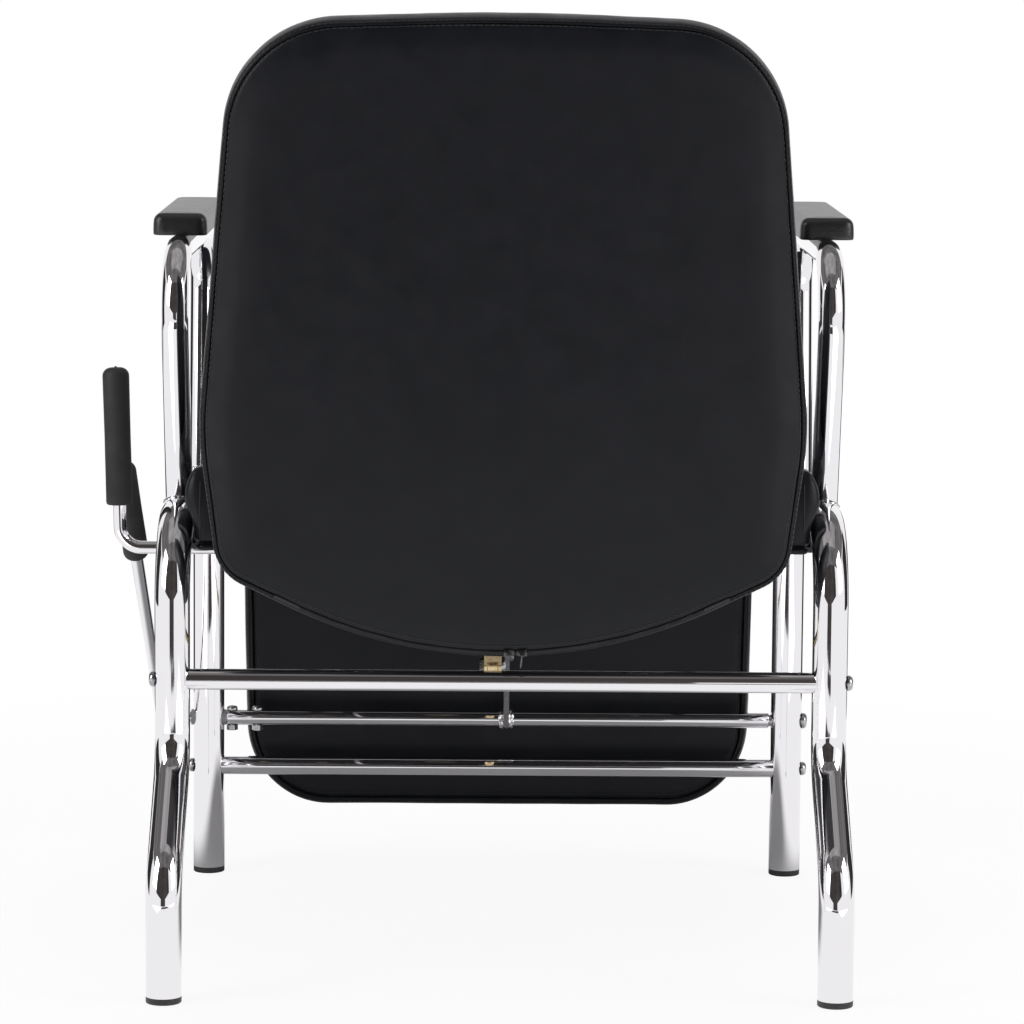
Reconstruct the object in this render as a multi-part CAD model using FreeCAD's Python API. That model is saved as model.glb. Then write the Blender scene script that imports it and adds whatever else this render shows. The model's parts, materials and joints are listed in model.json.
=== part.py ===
import FreeCAD, Part
import math
import os

# A reclining wash chair: two bent tube side loops with arm loops on them, a padded seat, a back
# that reclines and a leg rest that swings up, each moved by a hand lever on the left.
# Lengths are millimetres and angles degrees. X is right, Y is forward and Z is up. The pieces
# are drawn with X = 0 in the chair's middle plane and Y = 0 under the rear feet, and are moved
# at the end so that the origin is on the floor under the middle of the chair.

# Fits
run_clear = 0.05
bolt_clear = 0.2
side_gap = 0.5
soft_gap = 0.3

# Side loops: floor, rear leg with its set, rail, front leg, floor
tube_d = 32.0
tube_wall = 1.5
leg_x = 298.0
leg_set = 105.0
set_low_z = 111.0
set_high_z = 199.0
set_bend = 60.0
rail_z = 416.0
rail_bend = 75.0
front_leg_y = 592.0
cap_h = 6.0
cap_stem = 15.0
cap_edge = 1.5

# Arm loops, standing on the rails, and their pads
arm_d = 25.0
arm_wall = 1.5
arm_rise = 241.0
arm_rear_in = 15.0
arm_front_in = 43.0
arm_rear_lean = 70.0
arm_front_lean = 34.0
arm_bend = 55.0
arm_slope = 1.9
pad_w = 50.0
pad_len = 254.0
pad_t = 21.2
pad_sink = 0.5
pad_set = 75.0
pad_corner = 9.0
pad_edge = 5.0
pad_screw_d = 5.0
pad_screw_in = 45.0
pad_screw_bite = 12.0
pad_screw_head_d = 10.0
pad_screw_head_h = 3.5

# Stretchers between the legs, with a button head bolt at each end
bar_d = 19.0
bar_wall = 1.5
rear_bar_z = 274.0
front_bar_z = 111.0
bar_plug = 18.0
bar_bolt_d = 8.0
bar_head_d = 14.0
bar_head_h = 5.0

# Seat, carried on two flat bearers that hang under the rails
seat_drop = 27.0
seat_board_t = 10.0
seat_board_in = 14.0
seat_rear_set = 19.0
seat_front_set = 26.0
seat_side_gap = 4.0
seat_corner = 45.0
seat_rear_corner = 20.0
seat_h = 66.0
seat_crown = 20.0
seat_crown_reach = 170.0
bearer_w = 40.0
bearer_t = 5.0
bearer_end_in = 8.0
bearer_front_in = 27.0
seat_bolt_x = 150.0
seat_bolt_d = 6.0
seat_bolt_head_d = 12.0
seat_bolt_head_h = 4.0

# Back, drawn on its own rear face: across, up the slope, and forward from the face
recline_max = 35.0
back_tilt = 12.0
back_pivot_set = 41.0
back_pivot_drop = 11.0
back_pivot_out = 80.7
back_pivot_up = 62.6
back_side_gap = 11.0
back_taper = 34.0
back_len = 575.0
back_crest = 6.5
back_wide_up = 205.0
back_wide_r = 300.0
back_low_in = 14.0
back_low_up = 80.0
back_bottom_drop = 43.5
back_bottom_r = 424.0
back_low_r = 45.0
back_top_r = 113.0
back_crest_r = 2000.0
back_t = 52.0
back_draft = 3.0
back_panel_t = 10.0
back_board_t = 12.0
back_board_in = 14.0
back_crown = 8.0
back_crown_reach = 105.0

# Sewn covers: how far the seams pull in, how far the sides swell, and the roll at a front edge
seam_in = 2.0
side_bulge = 1.5
edge_roll = 9.0

# Plates and pivot bolts of the back and leg rest hinges
hinge_t = 5.0
hinge_boss_r = 9.0
hinge_pin_d = 8.0
hinge_head_d = 13.0
hinge_head_h = 4.0
back_hinge_in = 141.0
back_strap_drop = 24.0
back_strap_len = 46.0
strap_base_w = 24.0
strap_base_len = 56.0
strap_base_t = 3.0

# Recline drive: torque tube between the front legs, crank, link and the clevis on the back
torque_z = 161.0
torque_d = 16.0
rod_d = 12.0
bush_d = 16.0
bush_stand = 2.0
torque_overlap = 50.0
clamp_bolt_d = 6.0
clamp_bolt_first = 8.0
clamp_bolt_pitch = 26.0
clamp_head_d = 11.0
clamp_head_h = 4.0
clamp_nut_flats = 10.0
clamp_nut_h = 5.0
crank_x = 8.6
crank_t = 5.5
crank_w = 25.0
crank_r = 94.0
crank_tip = 15.0
crank_hub_d = 18.5
crank_hub_w = 11.0
link_x = -7.6
link_d = 10.0
link_eye_r = 9.0
link_pin_d = 8.0
link_slot_room = 0.3
slot_drift = 0.01
clevis_gap = 10.0
clevis_t = 3.0
clevis_up = 60.0
clevis_web_up = 4.5
clevis_screw_d = 4.0
clevis_screw_head_d = 7.0
clevis_screw_head_h = 3.0
clevis_screw_at = 0.58

# Hand levers: bent rods with rubber grips
grip_d = 25.0
grip_edge = 5.0
recline_bend_out = 32.5
recline_lean = 42.0
recline_out = 17.0
recline_len = 384.0
recline_grip = 128.0
lever_bend = 20.0
rest_lever_out = 42.5
rest_lever_lean = 4.5
rest_shaft_y = 240.0
rest_shaft_drop = 11.0
rest_grip_low = 40.0
rest_grip = 130.0

# Leg rest drive: crank on the lever's shaft, link and arm, a parallelogram
rest_crank_x = 160.0
rest_crank_t = 10.0
rest_crank_r = 55.0
rest_crank_back = 40.0
rest_boss_r = 11.0
rest_link_t = 5.0
rest_link_w = 20.0
rest_pin_d = 8.0
bearing_x = 175.0
bearing_t = 10.0
bearing_w = 26.0
bearing_below = 12.0
collar_d = 20.0
collar_w = 8.0

# Leg rest, hung from the front of the seat
rest_pivot_set = 33.0
rest_pivot_drop = 4.0
rest_face_out = 2.0
rest_top_drop = 15.0
rest_foot_z = 64.0
rest_side_gap = 17.0
rest_taper = 6.0
rest_top_r = 30.0
rest_foot_r = 85.0
rest_t = 55.0
rest_panel_t = 8.0
rest_board_t = 12.0
rest_board_in = 14.0
rest_crown = 7.0
rest_crown_reach = 80.0
rest_hinge_x = 198.0
rest_bracket_len = 60.0
rest_bracket_in = 20.0

# Places worked out from the sizes above
tube_r = tube_d / 2
inner_x = leg_x - tube_r
outer_x = leg_x + tube_r
recline_bend_x = outer_x + recline_bend_out
rest_lever_x = outer_x + rest_lever_out
seat_z = rail_z - seat_drop
seat_top = seat_z + seat_board_t
seat_rear_y = leg_set + seat_rear_set
seat_front_y = front_leg_y + seat_front_set
seat_half = inner_x - seat_side_gap
rear_bearer_y = leg_set + rail_bend + bearer_w / 2 + side_gap
front_bearer_y = front_leg_y - rail_bend - bearer_front_in
arm_z = rail_z + arm_rise
arm_rear_y = leg_set + rail_bend + arm_rear_in
arm_front_y = front_leg_y - rail_bend - arm_front_in
arm_head_y = arm_rear_y - arm_rear_lean
pad_rear_y = arm_head_y + pad_set
pad_z = arm_z + arm_d / 2 - pad_sink
tilt = math.radians(back_tilt)
back_pivot_y = leg_set + back_pivot_set
back_pivot_z = seat_z - back_pivot_drop
back_foot_y = back_pivot_y - back_pivot_out * math.cos(tilt) + back_pivot_up * math.sin(tilt)
back_foot_z = back_pivot_z - back_pivot_out * math.sin(tilt) - back_pivot_up * math.cos(tilt)
back_wide_x = inner_x - back_side_gap
back_hinge_x = back_wide_x - back_hinge_in
back_strap_low = back_pivot_up - back_strap_drop
back_strap_top = back_strap_low + back_strap_len
torque_y = front_leg_y
sweep_rad = math.radians(recline_max)
crank_pin_y = torque_y - crank_r * math.sin(sweep_rad)
crank_pin_z = torque_z + crank_r * math.cos(sweep_rad)
clevis_pin_z = back_pivot_z - crank_r
rest_shaft_z = seat_z - rest_shaft_drop
rest_pivot_y = front_leg_y + rest_pivot_set
rest_pivot_z = seat_z - rest_pivot_drop
rest_crank_dy = -rest_crank_r * math.sin(math.radians(rest_crank_back))
rest_crank_dz = -rest_crank_r * math.cos(math.radians(rest_crank_back))
rest_rear_y = rest_pivot_y + rest_face_out
rest_top_z = rest_pivot_z - rest_top_drop
rest_half = inner_x - rest_side_gap
SIDES = (-1, 1)


def vec(x, y, z):
    return FreeCAD.Vector(x, y, z)


def corner(before, here, after, radius):
    """Start, middle and end of the tangent arc that rounds one corner."""
    back = (before - here).normalize()
    ahead = (after - here).normalize()
    half = back.getAngle(ahead) / 2
    reach = radius / math.tan(half)
    bow = (back + ahead).normalize() * (radius / math.sin(half) - radius)
    return here + back * reach, here + bow, here + ahead * reach


def runs(points, radii, closed):
    """Straight runs through the points, rounded by tangent arcs, as one wire."""
    count = len(points)
    arcs = []
    for i, radius in enumerate(radii):
        here = points[i]
        if radius > 0:
            arcs.append(corner(points[i - 1], here, points[(i + 1) % count], radius))
        else:
            arcs.append((here, here, here))
    edges = []
    for i, (start, bow, end) in enumerate(arcs):
        if radii[i] > 0:
            edges.append(Part.Arc(start, bow, end).toShape())
        if closed or i + 1 < count:
            edges.append(Part.LineSegment(end, arcs[(i + 1) % count][0]).toShape())
    return Part.Wire(edges)


def swept(wire, radius):
    """A round bar along a wire."""
    first = wire.Edges[0]
    ring = Part.makeCircle(radius, wire.Vertexes[0].Point, first.tangentAt(first.FirstParameter))
    return wire.makePipeShell([Part.Wire(ring)], True, False)


def bent_tube(wire, diameter, wall):
    return swept(wire, diameter / 2).cut(swept(wire, diameter / 2 - wall))


def round_x(y, z, radius, x0, x1):
    """A cylinder along X."""
    return Part.makeCylinder(radius, x1 - x0, vec(x0, y, z), vec(1, 0, 0))


def round_z(x, y, radius, z0, z1):
    """An upright cylinder."""
    return Part.makeCylinder(radius, z1 - z0, vec(x, y, z0))


def block(x0, x1, y0, y1, z0, z1):
    return Part.makeBox(x1 - x0, y1 - y0, z1 - z0, vec(x0, y0, z0))


def span(side, a, b):
    """The ends of a stretch along X on one side of the chair, low end first."""
    return sorted((side * a, side * b))


def plate(points, x0, x1):
    """A flat plate square to X, from its (y, z) corners."""
    corners = [vec(x0, y, z) for y, z in points]
    return Part.Face(Part.makePolygon(corners + corners[:1])).extrude(vec(x1 - x0, 0, 0))


def bar_between(p, q, width, x0, x1, square_start=False):
    """A flat bar square to X between two (y, z) points, with round ends or a square first end."""
    dy, dz = q[0] - p[0], q[1] - p[1]
    half = width / 2 / math.hypot(dy, dz)
    ny, nz = -dz * half, dy * half
    body = plate([(p[0] + ny, p[1] + nz), (q[0] + ny, q[1] + nz), (q[0] - ny, q[1] - nz),
                  (p[0] - ny, p[1] - nz)], x0, x1)
    ends = [round_x(y, z, width / 2, x0, x1) for y, z in ((q,) if square_start else (p, q))]
    return body.multiFuse(ends).removeSplitter()


def aimed(shape, base, direction):
    """Stand a piece drawn up the Z axis on a point, turned to a direction."""
    shape.Placement = FreeCAD.Placement(base, FreeCAD.Rotation(vec(0, 0, 1), direction))
    return shape


def lathe(points, radii):
    """A turned piece about Z from its (radius, height) outline."""
    wire = runs([vec(r, 0, h) for r, h in points], radii, True)
    return Part.Face(wire).revolve(vec(0, 0, 0), vec(0, 0, 1), 360)


def hexagon(flats, z0, z1):
    """A six sided bar up the Z axis."""
    reach = flats / math.sqrt(3)
    ring = [vec(reach * math.cos(math.radians(a)), reach * math.sin(math.radians(a)), z0)
            for a in range(0, 361, 60)]
    return Part.Face(Part.makePolygon(ring)).extrude(vec(0, 0, z1 - z0))


def bolt(base, direction, shank_d, shank, head_d, head_h):
    """A button head bolt with a hex socket; base is under the head, direction is out of it."""
    solid = lathe([(0, -shank), (shank_d / 2, -shank), (shank_d / 2, 0), (head_d / 2, 0),
                   (head_d / 2, head_h), (0, head_h)], [0, 0, 0, 0, head_h * 0.7, 0])
    return aimed(solid.cut(hexagon(shank_d * 0.6, head_h * 0.5, head_h * 2)), base, direction)


def nut(base, direction, shank_d, flats, height):
    """A hex nut; base is its near face, direction points through it."""
    ring = hexagon(flats, 0, height).cut(round_z(0, 0, shank_d / 2 + run_clear, -1, height + 1))
    return aimed(ring, base, direction)


def shrunk(points, inset):
    """A polygon, drawn anticlockwise, with every side moved in by the inset."""
    moved = []
    for i, (a, b) in enumerate(points):
        before, after = points[i - 1], points[(i + 1) % len(points)]
        normals = []
        for (a0, b0), (a1, b1) in ((before, (a, b)), ((a, b), after)):
            size = math.hypot(a1 - a0, b1 - b0)
            normals.append(((b0 - b1) / size, (a1 - a0) / size))
        (na, nb), (ma, mb) = normals
        scale = inset / (1 + na * ma + nb * mb)
        moved.append((a + (na + ma) * scale, b + (nb + mb) * scale))
    return moved


def padding(points, radii, levels):
    """A padded form: the outline at each height, drawn in by that height's inset."""
    least = min(radii) / 2
    rings = []
    for height, inset in levels:
        ring = [vec(a, b, height) for a, b in shrunk(points, inset)]
        rings.append(runs(ring, [max(r - inset, least) for r in radii], True))
    return Part.makeLoft(rings, True, True)


def cushion_levels(low, high, crown, reach, draft=0.0):
    """Height and inset up a cushion: sides that swell, a rolled edge, a crown that eases out."""
    start = high - edge_roll
    sides = [(low + (start - low) * share,
              seam_in + draft * share - (seam_in + side_bulge) * math.sin(math.pi * share))
             for share in (0, 0.15, 0.5, 0.85)]
    roll = [(start + edge_roll * math.sin(turn), seam_in + draft + edge_roll * (1 - math.cos(turn)))
            for turn in (0, math.pi / 6, math.pi / 3)]
    inner = seam_in + draft + edge_roll
    top = [(high + crown * (1 - (1 - share) ** 2), inner + (reach - inner) * share)
           for share in (0, 0.15, 0.35, 0.6, 1)]
    return sides + roll + top


def panel_levels(depth):
    """Height and inset through a thin padded panel whose outer edge is rolled over."""
    return [(depth * share, seam_in * (1 + 4 * (1 - share) ** 3)) for share in (0, 0.2, 0.6, 1)]


def forward(levels):
    """The same levels for a piece that is drawn face up and then stood on its end."""
    return [(-height, inset) for height, inset in levels]


def slab(points, radii, inset, z0, z1):
    """A flat board with the outline drawn in by the inset."""
    return padding(points, radii, [(z0, inset), (z1, inset)])


def stood(shape, lean, y, z):
    """Stand a piece drawn flat, with its rear face on Z = 0 and its front below, up at (y, z)."""
    shape.rotate(vec(0, 0, 0), vec(1, 0, 0), 90 + lean)
    shape.translate(vec(0, y, z))
    return shape


def back_yz(out, up):
    """A place on the back, by its distance ahead of the rear face and up the slope."""
    return (back_foot_y + out * math.cos(tilt) - up * math.sin(tilt),
            back_foot_z + out * math.sin(tilt) + up * math.cos(tilt))


def group(solids):
    return Part.makeCompound(solids)


def leg_loop(side):
    x = side * leg_x
    path = [(0, cap_h), (0, set_low_z), (leg_set, set_high_z), (leg_set, rail_z),
            (front_leg_y, rail_z), (front_leg_y, cap_h)]
    wire = runs([vec(x, y, z) for y, z in path], [0, set_bend, set_bend, rail_bend, rail_bend, 0], False)
    loop = bent_tube(wire, tube_d, tube_wall)
    reach = x - tube_d, x + tube_d
    holes = [round_x(leg_set, rear_bar_z, bar_bolt_d / 2 + bolt_clear, *reach),
             round_x(front_leg_y, front_bar_z, bar_bolt_d / 2 + bolt_clear, *reach),
             round_x(torque_y, torque_z, (bush_d if side < 0 else rod_d) / 2, *reach)]
    return loop.cut(holes)


def rail_core(side):
    """The space that the rail fills, for what is fitted round it."""
    return Part.makeCylinder(tube_r, front_leg_y, vec(side * leg_x, 0, rail_z), vec(0, 1, 0))


def foot_cap(side, y):
    stem = tube_r - tube_wall - run_clear
    cap = lathe([(0, 0), (tube_r, 0), (tube_r, cap_h), (stem, cap_h), (stem, cap_h + cap_stem),
                 (0, cap_h + cap_stem)], [0, cap_edge, 0, 0, 0, 0])
    return aimed(cap, vec(side * leg_x, y, 0), vec(0, 0, 1))


def pad_screw_ys():
    return pad_rear_y + pad_screw_in, pad_rear_y + pad_len - pad_screw_in


def sloped(shape):
    """Tip a piece that is drawn on a level arm to the arm's slope."""
    shape.rotate(vec(0, arm_head_y, arm_z), vec(1, 0, 0), arm_slope)
    return shape


def arm_loop(side):
    x = side * leg_x
    front_head_y = arm_front_y + arm_front_lean
    front_head_z = arm_z + (front_head_y - arm_head_y) * math.tan(math.radians(arm_slope))
    path = [(arm_rear_y, rail_z), (arm_head_y, arm_z), (front_head_y, front_head_z), (arm_front_y, rail_z)]
    wire = runs([vec(x, y, z) for y, z in path], [0, arm_bend, arm_bend, 0], False)
    holes = [sloped(round_z(x, y, pad_screw_d / 2 + bolt_clear, arm_z - arm_d, arm_z + arm_d))
             for y in pad_screw_ys()]
    return bent_tube(wire, arm_d, arm_wall).cut([rail_core(side)] + holes)


def arm_pad(side):
    """A moulded pad with rounded upper edges and a groove below that sits on the arm tube."""
    x, half = side * leg_x, pad_w / 2
    ring = [(-half, 0), (half, 0), (half, pad_len), (-half, pad_len)]
    pad = padding(ring, [pad_corner] * 4, [(0, 0), (pad_t, 0)])
    pad = pad.makeFillet(pad_edge, [e for e in pad.Edges if e.BoundBox.ZMin > pad_t - pad_sink])
    pad.translate(vec(x, pad_rear_y, pad_z))
    groove = Part.makeCylinder(arm_d / 2, pad_len, vec(x, pad_rear_y, arm_z), vec(0, 1, 0))
    top = arm_z + arm_d / 2 + pad_screw_bite + side_gap
    holes = [round_z(x, y, pad_screw_d / 2 + run_clear, arm_z, top) for y in pad_screw_ys()]
    return sloped(pad.cut([groove] + holes))


def arm_pad_screws():
    base = arm_z - arm_d / 2
    return sloped(group([bolt(vec(side * leg_x, y, base), vec(0, 0, -1), pad_screw_d, arm_d + pad_screw_bite,
                              pad_screw_head_d, pad_screw_head_h) for side in SIDES for y in pad_screw_ys()]))


def stretcher(y, z):
    bar = round_x(y, z, bar_d / 2, -leg_x, leg_x)
    plug = inner_x - bar_plug
    cuts = [round_x(y, z, bar_d / 2 - bar_wall, -plug, plug),
            round_x(y, z, bar_bolt_d / 2 + run_clear, -leg_x, leg_x)]
    legs = [round_z(side * leg_x, y, tube_r, z - bar_d, z + bar_d) for side in SIDES]
    return bar.cut(cuts + legs)


def stretcher_bolts():
    shank = tube_d + bar_plug
    return group([bolt(vec(side * outer_x, y, z), vec(side, 0, 0), bar_bolt_d, shank, bar_head_d, bar_head_h)
                  for y, z in ((leg_set, rear_bar_z), (front_leg_y, front_bar_z)) for side in SIDES])


def bearer(y):
    """A flat bar across the chair with its ends turned up against the rails."""
    end = leg_x - bearer_end_in
    y0, y1 = y - bearer_w / 2, y + bearer_w / 2
    bar = block(-end, end, y0, y1, seat_z - bearer_t, seat_z)
    tabs = []
    for side in SIDES:
        x0, x1 = span(side, end - bearer_t, end)
        tabs.append(block(x0, x1, y0, y1, seat_z - bearer_t, rail_z))
    bar = bar.multiFuse(tabs).cut([rail_core(side) for side in SIDES])
    hole_r = seat_bolt_d / 2 + bolt_clear
    holes = [round_z(side * seat_bolt_x, y, hole_r, seat_z - bearer_t, seat_z) for side in SIDES]
    return bar.cut(holes).removeSplitter()


def hinge_ear_x(side, hinge_x):
    """Where the fixed ear of a hinge stands, just inside its strap."""
    return span(side, hinge_x - hinge_t / 2 - side_gap - hinge_t, hinge_x - hinge_t / 2 - side_gap)


def rear_bearer():
    """The rear bearer with the two ears that carry the back."""
    low = seat_z - bearer_t
    rear = rear_bearer_y - bearer_w / 2
    ears = []
    for side in SIDES:
        x0, x1 = hinge_ear_x(side, back_hinge_x)
        ears.append(plate([(back_pivot_y, back_pivot_z - hinge_boss_r), (rear, low - 2 * hinge_boss_r),
                           (rear_bearer_y + hinge_boss_r, low), (rear, low),
                           (back_pivot_y, back_pivot_z + hinge_boss_r)], x0, x1))
        ears.append(round_x(back_pivot_y, back_pivot_z, hinge_boss_r, x0, x1))
    holes = [round_x(back_pivot_y, back_pivot_z, hinge_pin_d / 2 + run_clear, -leg_x, leg_x)]
    return bearer(rear_bearer_y).multiFuse(ears).cut(holes).removeSplitter()


def hinge_pins(y, z, hinge_x):
    """Pivot bolts with nuts, through the ear and strap of both hinges on one axis."""
    pieces = []
    for side in SIDES:
        head = hinge_x + hinge_t / 2 + side_gap
        near = hinge_x - hinge_t * 1.5 - side_gap * 2
        pin = bolt(vec(side * head, y, z), vec(side, 0, 0), hinge_pin_d, head - near + hinge_head_h,
                   hinge_head_d, hinge_head_h)
        pieces.append(pin)
        pieces.append(nut(vec(side * near, y, z), vec(-side, 0, 0), hinge_pin_d, hinge_head_d, hinge_head_h))
    return group(pieces)


def seat_outline():
    ring = [(-seat_half, seat_rear_y), (seat_half, seat_rear_y), (seat_half, seat_front_y),
            (-seat_half, seat_front_y)]
    return ring, [seat_rear_corner] * 2 + [seat_corner] * 2


def seat_board():
    board = slab(*seat_outline(), seat_board_in, seat_z, seat_top)
    holes = [round_z(side * seat_bolt_x, y, seat_bolt_d / 2 + run_clear, seat_z - 1, seat_top - seam_in)
             for side in SIDES for y in (rear_bearer_y, front_bearer_y)]
    return board.cut(holes)


def seat_cushion():
    return padding(*seat_outline(), cushion_levels(seat_top, seat_top + seat_h, seat_crown, seat_crown_reach))


def seat_bolts():
    shank = bearer_t + seat_board_t - seam_in * 2
    return group([bolt(vec(side * seat_bolt_x, y, seat_z - bearer_t), vec(0, 0, -1), seat_bolt_d, shank,
                       seat_bolt_head_d, seat_bolt_head_h)
                  for side in SIDES for y in (rear_bearer_y, front_bearer_y)])


def back_outline():
    """The back seen square on, anticlockwise from the bottom, and its corner radii."""
    top_x = back_wide_x - back_taper
    low_x = back_wide_x - back_low_in
    right = [(low_x, back_low_up), (back_wide_x, back_wide_up), (top_x, back_len)]
    left = [(-x, up) for x, up in reversed(right)]
    radii = [back_low_r, back_wide_r, back_top_r]
    ring = [(0, -back_bottom_drop)] + right + [(0, back_len + back_crest)] + left
    return ring, [back_bottom_r] + radii + [back_crest_r] + radii[::-1]


def stood_back(shape):
    return stood(shape, back_tilt, back_foot_y, back_foot_z)


def back_rear_panel():
    return stood_back(padding(*back_outline(), forward(panel_levels(back_panel_t))))


def back_board():
    front = back_panel_t + back_board_t
    return stood_back(slab(*back_outline(), back_board_in, -back_panel_t, -front))


def back_cushion():
    """Foam ahead of the board, with a pocket for the board and room for the straps and clevis."""
    front = back_panel_t + back_board_t
    levels = cushion_levels(back_panel_t, back_t, back_crown, back_crown_reach, back_draft)
    foam = padding(*back_outline(), forward(levels))
    room = soft_gap + side_gap
    cuts = [slab(*back_outline(), back_board_in - soft_gap, -back_panel_t, -front - soft_gap)]
    base_top = back_strap_top
    for side in SIDES:
        inner, outer = back_hinge_x - hinge_t / 2, back_hinge_x + hinge_t / 2
        x0, x1 = span(side, outer - strap_base_w - room, outer + room)
        cuts.append(block(x0, x1, 0, base_top + room, -front - strap_base_t - room * 2, -front))
        x0, x1 = span(side, inner - room, outer + room)
        cuts.append(block(x0, x1, -back_bottom_drop, base_top + room, -back_t * 2, -front))
        x0, x1 = span(side, inner - hinge_t - hinge_head_h * 3, outer + hinge_head_h * 3)
        top = back_pivot_up + hinge_boss_r + hinge_head_h
        cuts.append(block(x0, x1, -back_bottom_drop, top, -back_t * 2, hinge_boss_r * 2 - back_pivot_out))
    half = clevis_gap / 2 + clevis_t + hinge_head_h * 2
    cuts.append(block(link_x - half, link_x + half, -back_bottom_drop, clevis_up + room, -back_t * 2, -front))
    return stood_back(foam.cut(cuts))


def back_straps():
    """Angle plates on the board that reach forward to the hinge pins."""
    face = back_panel_t + back_board_t
    straps = []
    for side in SIDES:
        x0, x1 = span(side, back_hinge_x - hinge_t / 2, back_hinge_x + hinge_t / 2)
        web = plate([back_yz(face, back_strap_low), back_yz(back_pivot_out, back_pivot_up - hinge_boss_r),
                     back_yz(back_pivot_out, back_pivot_up + hinge_boss_r),
                     back_yz(face + strap_base_t * 2, back_strap_top), back_yz(face, back_strap_top)], x0, x1)
        b0, b1 = span(side, back_hinge_x + hinge_t / 2 - strap_base_w, back_hinge_x + hinge_t / 2)
        base = plate([back_yz(face, back_strap_low), back_yz(face + strap_base_t, back_strap_low),
                      back_yz(face + strap_base_t, back_strap_top), back_yz(face, back_strap_top)], b0, b1)
        boss = round_x(back_pivot_y, back_pivot_z, hinge_boss_r, x0, x1)
        hole = round_x(back_pivot_y, back_pivot_z, hinge_pin_d / 2 + run_clear, x0, x1)
        straps.append(web.multiFuse([base, boss]).cut(hole).removeSplitter())
    return group(straps)


def clevis_web():
    """The slanted rear edge of the fork: its upper and lower (y, z), and the unit step into the fork."""
    high = back_yz(back_panel_t + back_board_t, back_panel_t + seam_in)
    toe = (back_pivot_y - hinge_boss_r, clevis_pin_z)
    run = math.dist(high, toe)
    dy, dz = (toe[0] - high[0]) / run, (toe[1] - high[1]) / run
    return high, (toe[0] - dy * clevis_web_up, toe[1] - dz * clevis_web_up), (-dz, dy)


def clevis_screw_place():
    """Where the screw goes through the fork's web, and the way out of it."""
    high, low, (ny, nz) = clevis_web()
    y = low[0] + (high[0] - low[0]) * clevis_screw_at
    z = low[1] + (high[1] - low[1]) * clevis_screw_at
    return vec(link_x, y, z), vec(0, -ny, -nz)


def link_clevis():
    """The fork on the back's board that pushes the link, with a web across its rear edge."""
    face = back_panel_t + back_board_t
    half = clevis_gap / 2 + clevis_t
    low = back_panel_t + seam_in
    base = plate([back_yz(face, low), back_yz(face + clevis_t, low), back_yz(face + clevis_t, clevis_up),
                  back_yz(face, clevis_up)], link_x - half, link_x + half)
    pieces = []
    for x0 in (link_x - half, link_x + half - clevis_t):
        x1 = x0 + clevis_t
        pieces.append(plate([back_yz(face, low), (back_pivot_y - hinge_boss_r, clevis_pin_z),
                             (back_pivot_y + hinge_boss_r, clevis_pin_z),
                             back_yz(face + hinge_boss_r * 2, clevis_up), back_yz(face, clevis_up)], x0, x1))
        pieces.append(round_x(back_pivot_y, clevis_pin_z, hinge_boss_r, x0, x1))
    upper, lower, (ny, nz) = clevis_web()
    inner = [(y + ny * clevis_t, z + nz * clevis_t) for y, z in (lower, upper)]
    pieces.append(plate([upper, lower] + inner, link_x - half, link_x + half))
    screw, out = clevis_screw_place()
    holes = [round_x(back_pivot_y, clevis_pin_z, link_pin_d / 2 + run_clear, link_x - half, link_x + half),
             Part.makeCylinder(clevis_screw_d / 2 + run_clear, clevis_t * 4, screw + out * clevis_t, out * -1)]
    return base.multiFuse(pieces).cut(holes).removeSplitter()


def clevis_bolt():
    """The bolt and nut that hold the link in its fork, and the screw through the fork's web."""
    half = clevis_gap / 2 + clevis_t
    right = vec(link_x + half, back_pivot_y, clevis_pin_z)
    left = vec(link_x - half, back_pivot_y, clevis_pin_z)
    shank = 2 * half + hinge_head_h
    screw, out = clevis_screw_place()
    return group([bolt(right, vec(1, 0, 0), link_pin_d, shank, hinge_head_d, hinge_head_h),
                  nut(left, vec(-1, 0, 0), link_pin_d, hinge_head_d, hinge_head_h),
                  bolt(screw, out, clevis_screw_d, clevis_t, clevis_screw_head_d, clevis_screw_head_h)])


def torque_tube():
    end = inner_x - bush_stand - side_gap
    tube = round_x(torque_y, torque_z, torque_d / 2, -end, end)
    bore = round_x(torque_y, torque_z, rod_d / 2 + run_clear, -end, end)
    return tube.cut([bore] + clamp_holes())


def clamp_xs():
    first = -(inner_x - clamp_bolt_first)
    return first, first + clamp_bolt_pitch


def clamp_holes():
    return [round_z(x, torque_y, clamp_bolt_d / 2 + run_clear, torque_z - torque_d, torque_z + torque_d)
            for x in clamp_xs()]


def clamp_bolts():
    """Two bolts down through the torque tube and the lever's rod, with nuts below."""
    pieces = []
    for x in clamp_xs():
        shank = torque_d + clamp_nut_h + side_gap
        pieces.append(bolt(vec(x, torque_y, torque_z + torque_d / 2), vec(0, 0, 1), clamp_bolt_d, shank,
                           clamp_head_d, clamp_head_h))
        pieces.append(nut(vec(x, torque_y, torque_z - torque_d / 2), vec(0, 0, -1), clamp_bolt_d,
                          clamp_nut_flats, clamp_nut_h))
    return group(pieces)


def lever_bush():
    """The plastic sleeve in the left front leg that the lever's rod turns in."""
    x0, x1 = -outer_x - bush_stand, -inner_x + bush_stand
    sleeve = round_x(torque_y, torque_z, bush_d / 2, x0, x1)
    return sleeve.cut(round_x(torque_y, torque_z, rod_d / 2 + run_clear, x0, x1))


def stub_pin():
    """The pin in the right front leg that the torque tube turns on."""
    head = vec(outer_x, torque_y, torque_z)
    return bolt(head, vec(1, 0, 0), rod_d, tube_d + torque_overlap / 2, rod_d + 2 * bush_stand, bar_head_h)


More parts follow.
